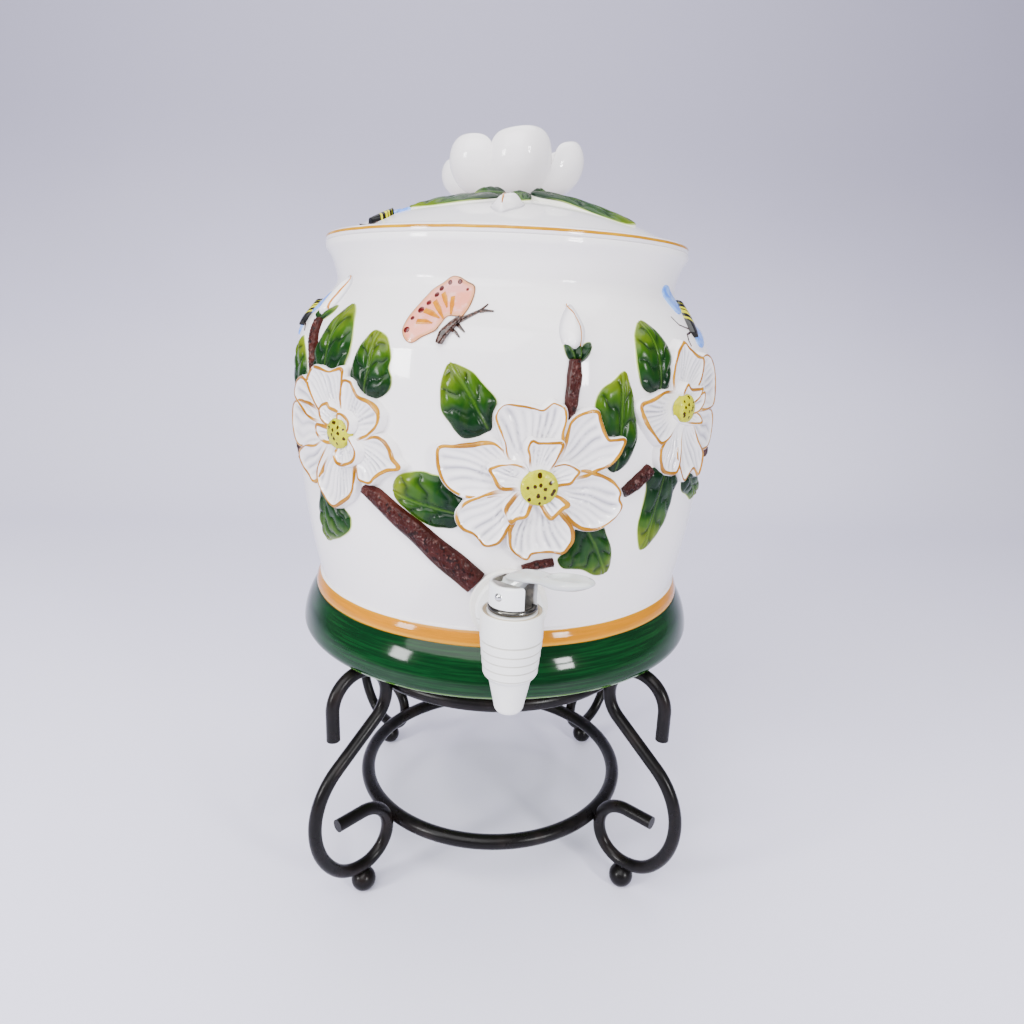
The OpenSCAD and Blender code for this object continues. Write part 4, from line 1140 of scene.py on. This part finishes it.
def knobPetal(name, angle, line, tall, twist):  # a thick cupped petal, on a curve up to its lip
    clear()
    bpy.ops.mesh.primitive_uv_sphere_add(segments=72, ring_count=48, radius=1, location=(0, 0, 0))
    obj = named(name)
    across, out, along = places(obj).T
    square = knobPlan["square"]  # how full the petal's corners are
    full = np.clip(1 - np.abs(along) ** square, 0, 1) ** (1 / square)
    full = full / np.sqrt(np.clip(1 - along ** 2, 1e-9, 1))
    across, out = across * full, out * full ** 0.6
    t = np.clip((along + 1) / 2, 0, 1)
    reaches, heights = [r for r, _ in line], [z * tall for _, z in line]
    r, z = curve(*reaches, t), curve(*heights, t)
    dr, dz = slope(*reaches, t), slope(*heights, t)
    step = np.hypot(dr, dz)
    x = across * np.interp(t, [0, 0.25, 0.6, 0.85, 1], knobPlan["half"])
    roll = x / knobPlan["curl"]
    off = -out * knobPlan["thick"]
    r = (r + off * dz / step - knobPlan["curl"] * (1 - np.cos(roll)) - 1.8 * across ** 4 * t
         + 0.5 * np.cos(across * 5 + twist) * t)
    z = z - off * dr / step + lidPlan["top"] + 0.9 * t * np.sin(across * 2.2 + twist)
    x = knobPlan["curl"] * np.sin(roll)
    a = math.radians(angle)
    moved(obj, np.stack([r * math.sin(a) + x * math.cos(a), -r * math.cos(a) + x * math.sin(a), z], 1))
    marked(obj, **plain)
    return faceOut(obj)


def overTop(x, y, h):
    return np.stack([x, y, lidPlan["top"] + h], 1)


petals = [knobPetal("knobPetal", angle, knobPlan[which], tall, i * 1.3)
          for i, (angle, which, tall) in enumerate(knobPlan["petals"])]
core = turned("knobCore", rounded([(r, lidPlan["top"] + z) for r, z in knobPlan["core"]], 3.0, 5), 96)
marked(core, **plain)
r = knobPlan["heart"]["radius"]
form = heartForm(knobPlan["heart"], r, knobPlan["heart"]["spin"])
heart = relief("knobHeart", oval(0, 0, r, r, 16), overTop, form, midDisc, sink=8.0, flare=0.1)
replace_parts(finish(joined("flowerKnob", petals + [core, heart]), "lid", "petal", 60), "lid_knob")
print("lid and knob modelled")


# lever
leverPlan = {  # lengths run from the pin to the paddle's end; side is half of the plate's outline
    "at": (*tapAxis, 233.026), "turn": -40, "rise": 8, "web": 4.75,
    "side": [(-1.2, 0), (-0.6, -4.2), (1.6, -6.3), (7, -6.9), (13, -6.5), (18, -6.2), (24, -7.5), (30, -8.2),
             (36, -7.9), (41, -6.0), (44.6, -2.6), (44.9, 0)],
    "middle": 21.0, "top": 10.3, "under": 6.1,
    "dish": {"at": 32, "long": 10.6, "wide": 6.0, "deep": 2.7},
    "neck": {"at": 19.5, "long": 3.2, "deep": 0.8}, "crown": {"at": 7, "long": 6.5, "wide": 6.9, "high": 1.3},
    "webLoop": [(-3.3, -0.9), (-3.3, 4.6), (-1.5, 8.0), (10, 8.0), (10, 6.6), (7.5, 3.6), (3.4, 0),
                (2.6, -2.2), (0, -3.4), (-2.6, -2.2)],
    "tail": [(-6.6, -1.6), (-6.6, 0.2), (-1.5, 0.2), (-1.5, -1.6)],
}


def atPin(x, y, z, rise):  # places of the lever's own frame, in millimetres, to the object's
    c, s = math.cos(math.radians(rise)), math.sin(math.radians(rise))
    x, z = x * c - z * s, x * s + z * c
    c, s = math.cos(math.radians(leverPlan["turn"])), math.sin(math.radians(leverPlan["turn"]))
    at = leverPlan["at"]
    return np.stack([at[0] + x * c - y * s, at[1] + x * s + y * c, at[2] + z], 1)


def slab(name, loop, half, rise):  # an outline cut from a plate that stands across the pin
    clear()
    bpy.ops.mesh.primitive_circle_add(vertices=len(loop), radius=1, fill_type="NGON", location=(0, 0, 0))
    obj = named(name)
    mode("EDIT")
    extrude(0, 0, 1)
    mode("OBJECT")
    u, v, level = places(obj).T
    turn = np.round(np.arctan2(v, u) / math.tau * len(loop)).astype(int) % len(loop)
    flat = np.array(loop, float)[turn]
    moved(obj, atPin(flat[:, 0], np.where(level > 0.5, half, -half), flat[:, 1], rise))
    faceOut(obj)
    bevel = obj.modifiers.new("edges", "BEVEL")
    bevel.width, bevel.segments = 0.45 * mm, 2
    bpy.ops.object.modifier_apply(modifier="edges")
    return obj


def paddle(plan):  # plate over the ears that widens into a dished oval
    clear()
    bpy.ops.mesh.primitive_uv_sphere_add(segments=128, ring_count=64, radius=1, location=(0, 0, 0))
    obj = named("paddle")
    u, v, w = places(obj).T
    rho = np.hypot(u, v)
    side, dish, neck, crown = plan["side"], plan["dish"], plan["neck"], plan["crown"]
    loop = smoothLoop(side + [(x, -y) for x, y in side[-2:0:-1]])
    middle = np.array([plan["middle"], 0.0])
    x, y = (middle + (edgeAt(loop, u, v) - middle) * rho[:, None]).T
    dished = np.clip(1 - np.hypot((x - dish["at"]) / dish["long"], y / dish["wide"]) ** 5, 0, 1) ** 0.7
    crowned = hill(x - crown["at"], crown["long"]) * np.clip(1 - (y / crown["wide"]) ** 2, 0, 1)
    high = (plan["top"] + crown["high"] * crowned - dish["deep"] * dished
            - neck["deep"] * hill(x - neck["at"], neck["long"]) - 0.6 * ease(x, 20, 6))
    low = plan["under"] - 1.5 * ease(x, 19, 28) + 0.6 * (np.abs(y) / 8) ** 2 + 0.9 * ease(x, 36, 45)
    rise = np.clip(1 - rho ** 5, 0, 1) ** 0.45
    half = (high - low) / 2
    z = low + half + np.where(w >= 0, 1, -1) * half * rise
    moved(obj, atPin(x, y, z, plan["rise"]))
    return obj


leverPieces = [paddle(leverPlan), slab("web", leverPlan["webLoop"], leverPlan["web"], leverPlan["rise"]),
               slab("tail", leverPlan["tail"], leverPlan["web"], 0)]
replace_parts(finish(joined("leverArm", leverPieces), "lever", "leverPlastic", 50), "tap_lever")
print("lever modelled")


# spring
springPlan = {"at": tapAxis, "radius": 4.5, "wire": 0.5, "low": 200.626, "climb": 19.4, "turns": 6,
              "lift": 1.255}


def coil(name, plan):  # wire wound round the upright axis
    clear()
    bpy.ops.mesh.primitive_circle_add(vertices=12, radius=plan["wire"] * mm, location=(0, 0, 0),
                                      rotation=(math.radians(90), 0, 0))
    obj = named(name)
    bpy.ops.object.transform_apply(location=False, rotation=True, scale=False)
    obj.data.transform(Matrix.Translation((plan["radius"] * mm, 0, plan["low"] * mm)))
    wind = obj.modifiers.new("wind", "SCREW")
    wind.angle, wind.iterations = math.tau, plan["turns"]
    wind.screw_offset = plan["climb"] / plan["turns"] * mm
    wind.steps = wind.render_steps = 32
    bpy.ops.object.modifier_apply(modifier="wind")
    mode("EDIT")
    weld()
    selectAll()
    bpy.ops.mesh.fill_holes(sides=12)
    faceOut(obj)
    obj.data.transform(Matrix.Translation((plan["at"][0] * mm, plan["at"][1] * mm, 0)))
    return obj


spring = finish(coil("springCoil", springPlan), "tap_head", "brightSteel")
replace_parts(spring, "tap_spring")
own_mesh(spring)
print("spring modelled")


for template in (fineDisc, midDisc, smallDisc, longStick, shortStick):
    bpy.data.objects.remove(template)


# the CAD nodes that stay
corners = ("front_left", "front_right", "back_left", "back_right")
looks = {
    "iron": ["upper_ring", "lower_ring"] + [part + corner for part in ("leg_", "foot_") for corner in corners],
    "tapPlastic": ["tap_body", "tap_nut"], "creamPlastic": ["tap_retainer"], "glossPlastic": ["tap_bonnet"],
    "stemPlastic": ["tap_stem"], "rubber": ["tap_outer_washer"],
    "blackRubber": ["tap_inner_washer", "tap_seat"], "darkSteel": ["tap_ring"], "brightSteel": ["tap_pin"],
}
for look, nodes in looks.items():
    for node in nodes:
        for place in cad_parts[node].material_slots:
            place.material = glazes[look]
print("CAD nodes painted")


# floor, light, camera
studio = {"floor": (0.82, 0.80, 0.97), "wall": (0.40, 0.385, 0.50), "back": 0.75, "near": -1.4, "side": 2.6,
          "bend": 0.35, "tall": 2.2}  # colours, with the wall darker than the floor as painted shade up the sweep, and places in metres


def backdrop():
    clear()
    bpy.ops.mesh.primitive_plane_add(size=1, location=(0, 0, 0))
    obj = named("backdrop")
    back, bend = studio["back"], studio["bend"]
    mode("EDIT")
    bpy.ops.mesh.delete(type="ONLY_FACE")
    selectAll()
    bpy.ops.mesh.merge(type="CENTER")
    bpy.ops.transform.translate(value=(-studio["side"], studio["near"], 0))
    path = [(studio["near"], 0), (back, 0)]
    path += [(back + bend * math.sin(a), bend * (1 - math.cos(a)))
             for a in np.linspace(0, math.pi / 2, 16)[1:]]
    path.append((back + bend, studio["tall"]))
    for (y1, z1), (y2, z2) in zip(path, path[1:]):
        extrude(0, y2 - y1, z2 - z1)
    selectAll()
    extrude(2 * studio["side"], 0, 0)
    mode("OBJECT")
    paint = Paint("backdropPaint")
    # painted shade: the one sweep darkens from the floor's colour to the darker wall colour as it bends up
    up = (paint.height() + paint.sway(2.5, 0.1, 3)).above(0.0, 0.75)
    paint.put("Base Color", paint.mix(up, studio["floor"], studio["wall"]))
    paint.rough(0.55, 0.1, 3, 2)
    obj.data.materials.append(paint.material)
    smooth(obj, 60)


def posed(right, up, back, at):  # a matrix from its axes and its place
    return Matrix([(right[i], up[i], back[i], at[i]) for i in range(3)] + [(0, 0, 0, 1)])


def lamp(name, power, size, at, aim):
    clear()
    bpy.ops.object.light_add(type="AREA", location=at)
    obj = bpy.context.object
    obj.name = name
    obj.data.shape = "RECTANGLE"
    obj.data.size, obj.data.size_y = size
    obj.data.energy = power
    toward = np.array(aim) - np.array(at)
    z = -toward / np.linalg.norm(toward)
    x = np.cross((0, 0, 1), z)
    x /= np.linalg.norm(x)
    y = np.cross(z, x)
    obj.matrix_world = posed(x, y, z, at)


backdrop()
lamps = {  # power, size, place, aim; the two windows give the small square lights on the glaze
    "key": (40, (1.5, 1.2), (-0.5, -0.95, 1.35), (0, 0, 0.26)),
    "top": (18, (1.4, 1.0), (0.1, 0.2, 1.75), (0, 0.05, 0.2)),
    "windowLeft": (13, (0.22, 0.30), (-1.0, -0.72, 0.52), (0, 0, 0.25)),
    "windowRightUpper": (6, (0.17, 0.13), (0.67, -0.97, 0.62), (0, 0, 0.25)),
    "windowRightLower": (6, (0.17, 0.13), (0.67, -0.97, 0.44), (0, 0, 0.25)),
}
for name, (power, size, at, aim) in lamps.items():
    lamp(name, power, size, at, aim)

world = bpy.data.worlds.new("studioWorld")
bpy.context.scene.world = world
world.use_nodes = True
sky = world.node_tree.nodes["Background"].inputs
sky["Color"].default_value = (0.86, 0.86, 0.95, 1)
sky["Strength"].default_value = 0.42

view = {"at": (-24.98, -476.62, 360.46), "right": (0.99749, -0.06059, 0.03703),
        "up": (-0.01978, 0.26370, 0.96440), "ahead": (0.06819, 0.96270, -0.26183), "lens": 25.446}
clear()
bpy.ops.object.camera_add(location=(0, 0, 0))
camera = bpy.context.object
camera.data.lens = view["lens"]
camera.data.sensor_width = 36
camera.data.clip_start = 0.01
behind = [-v for v in view["ahead"]]
camera.matrix_world = posed(view["right"], view["up"], behind, [v * mm for v in view["at"]])
bpy.context.scene.camera = camera
print("stage, lights and camera set")
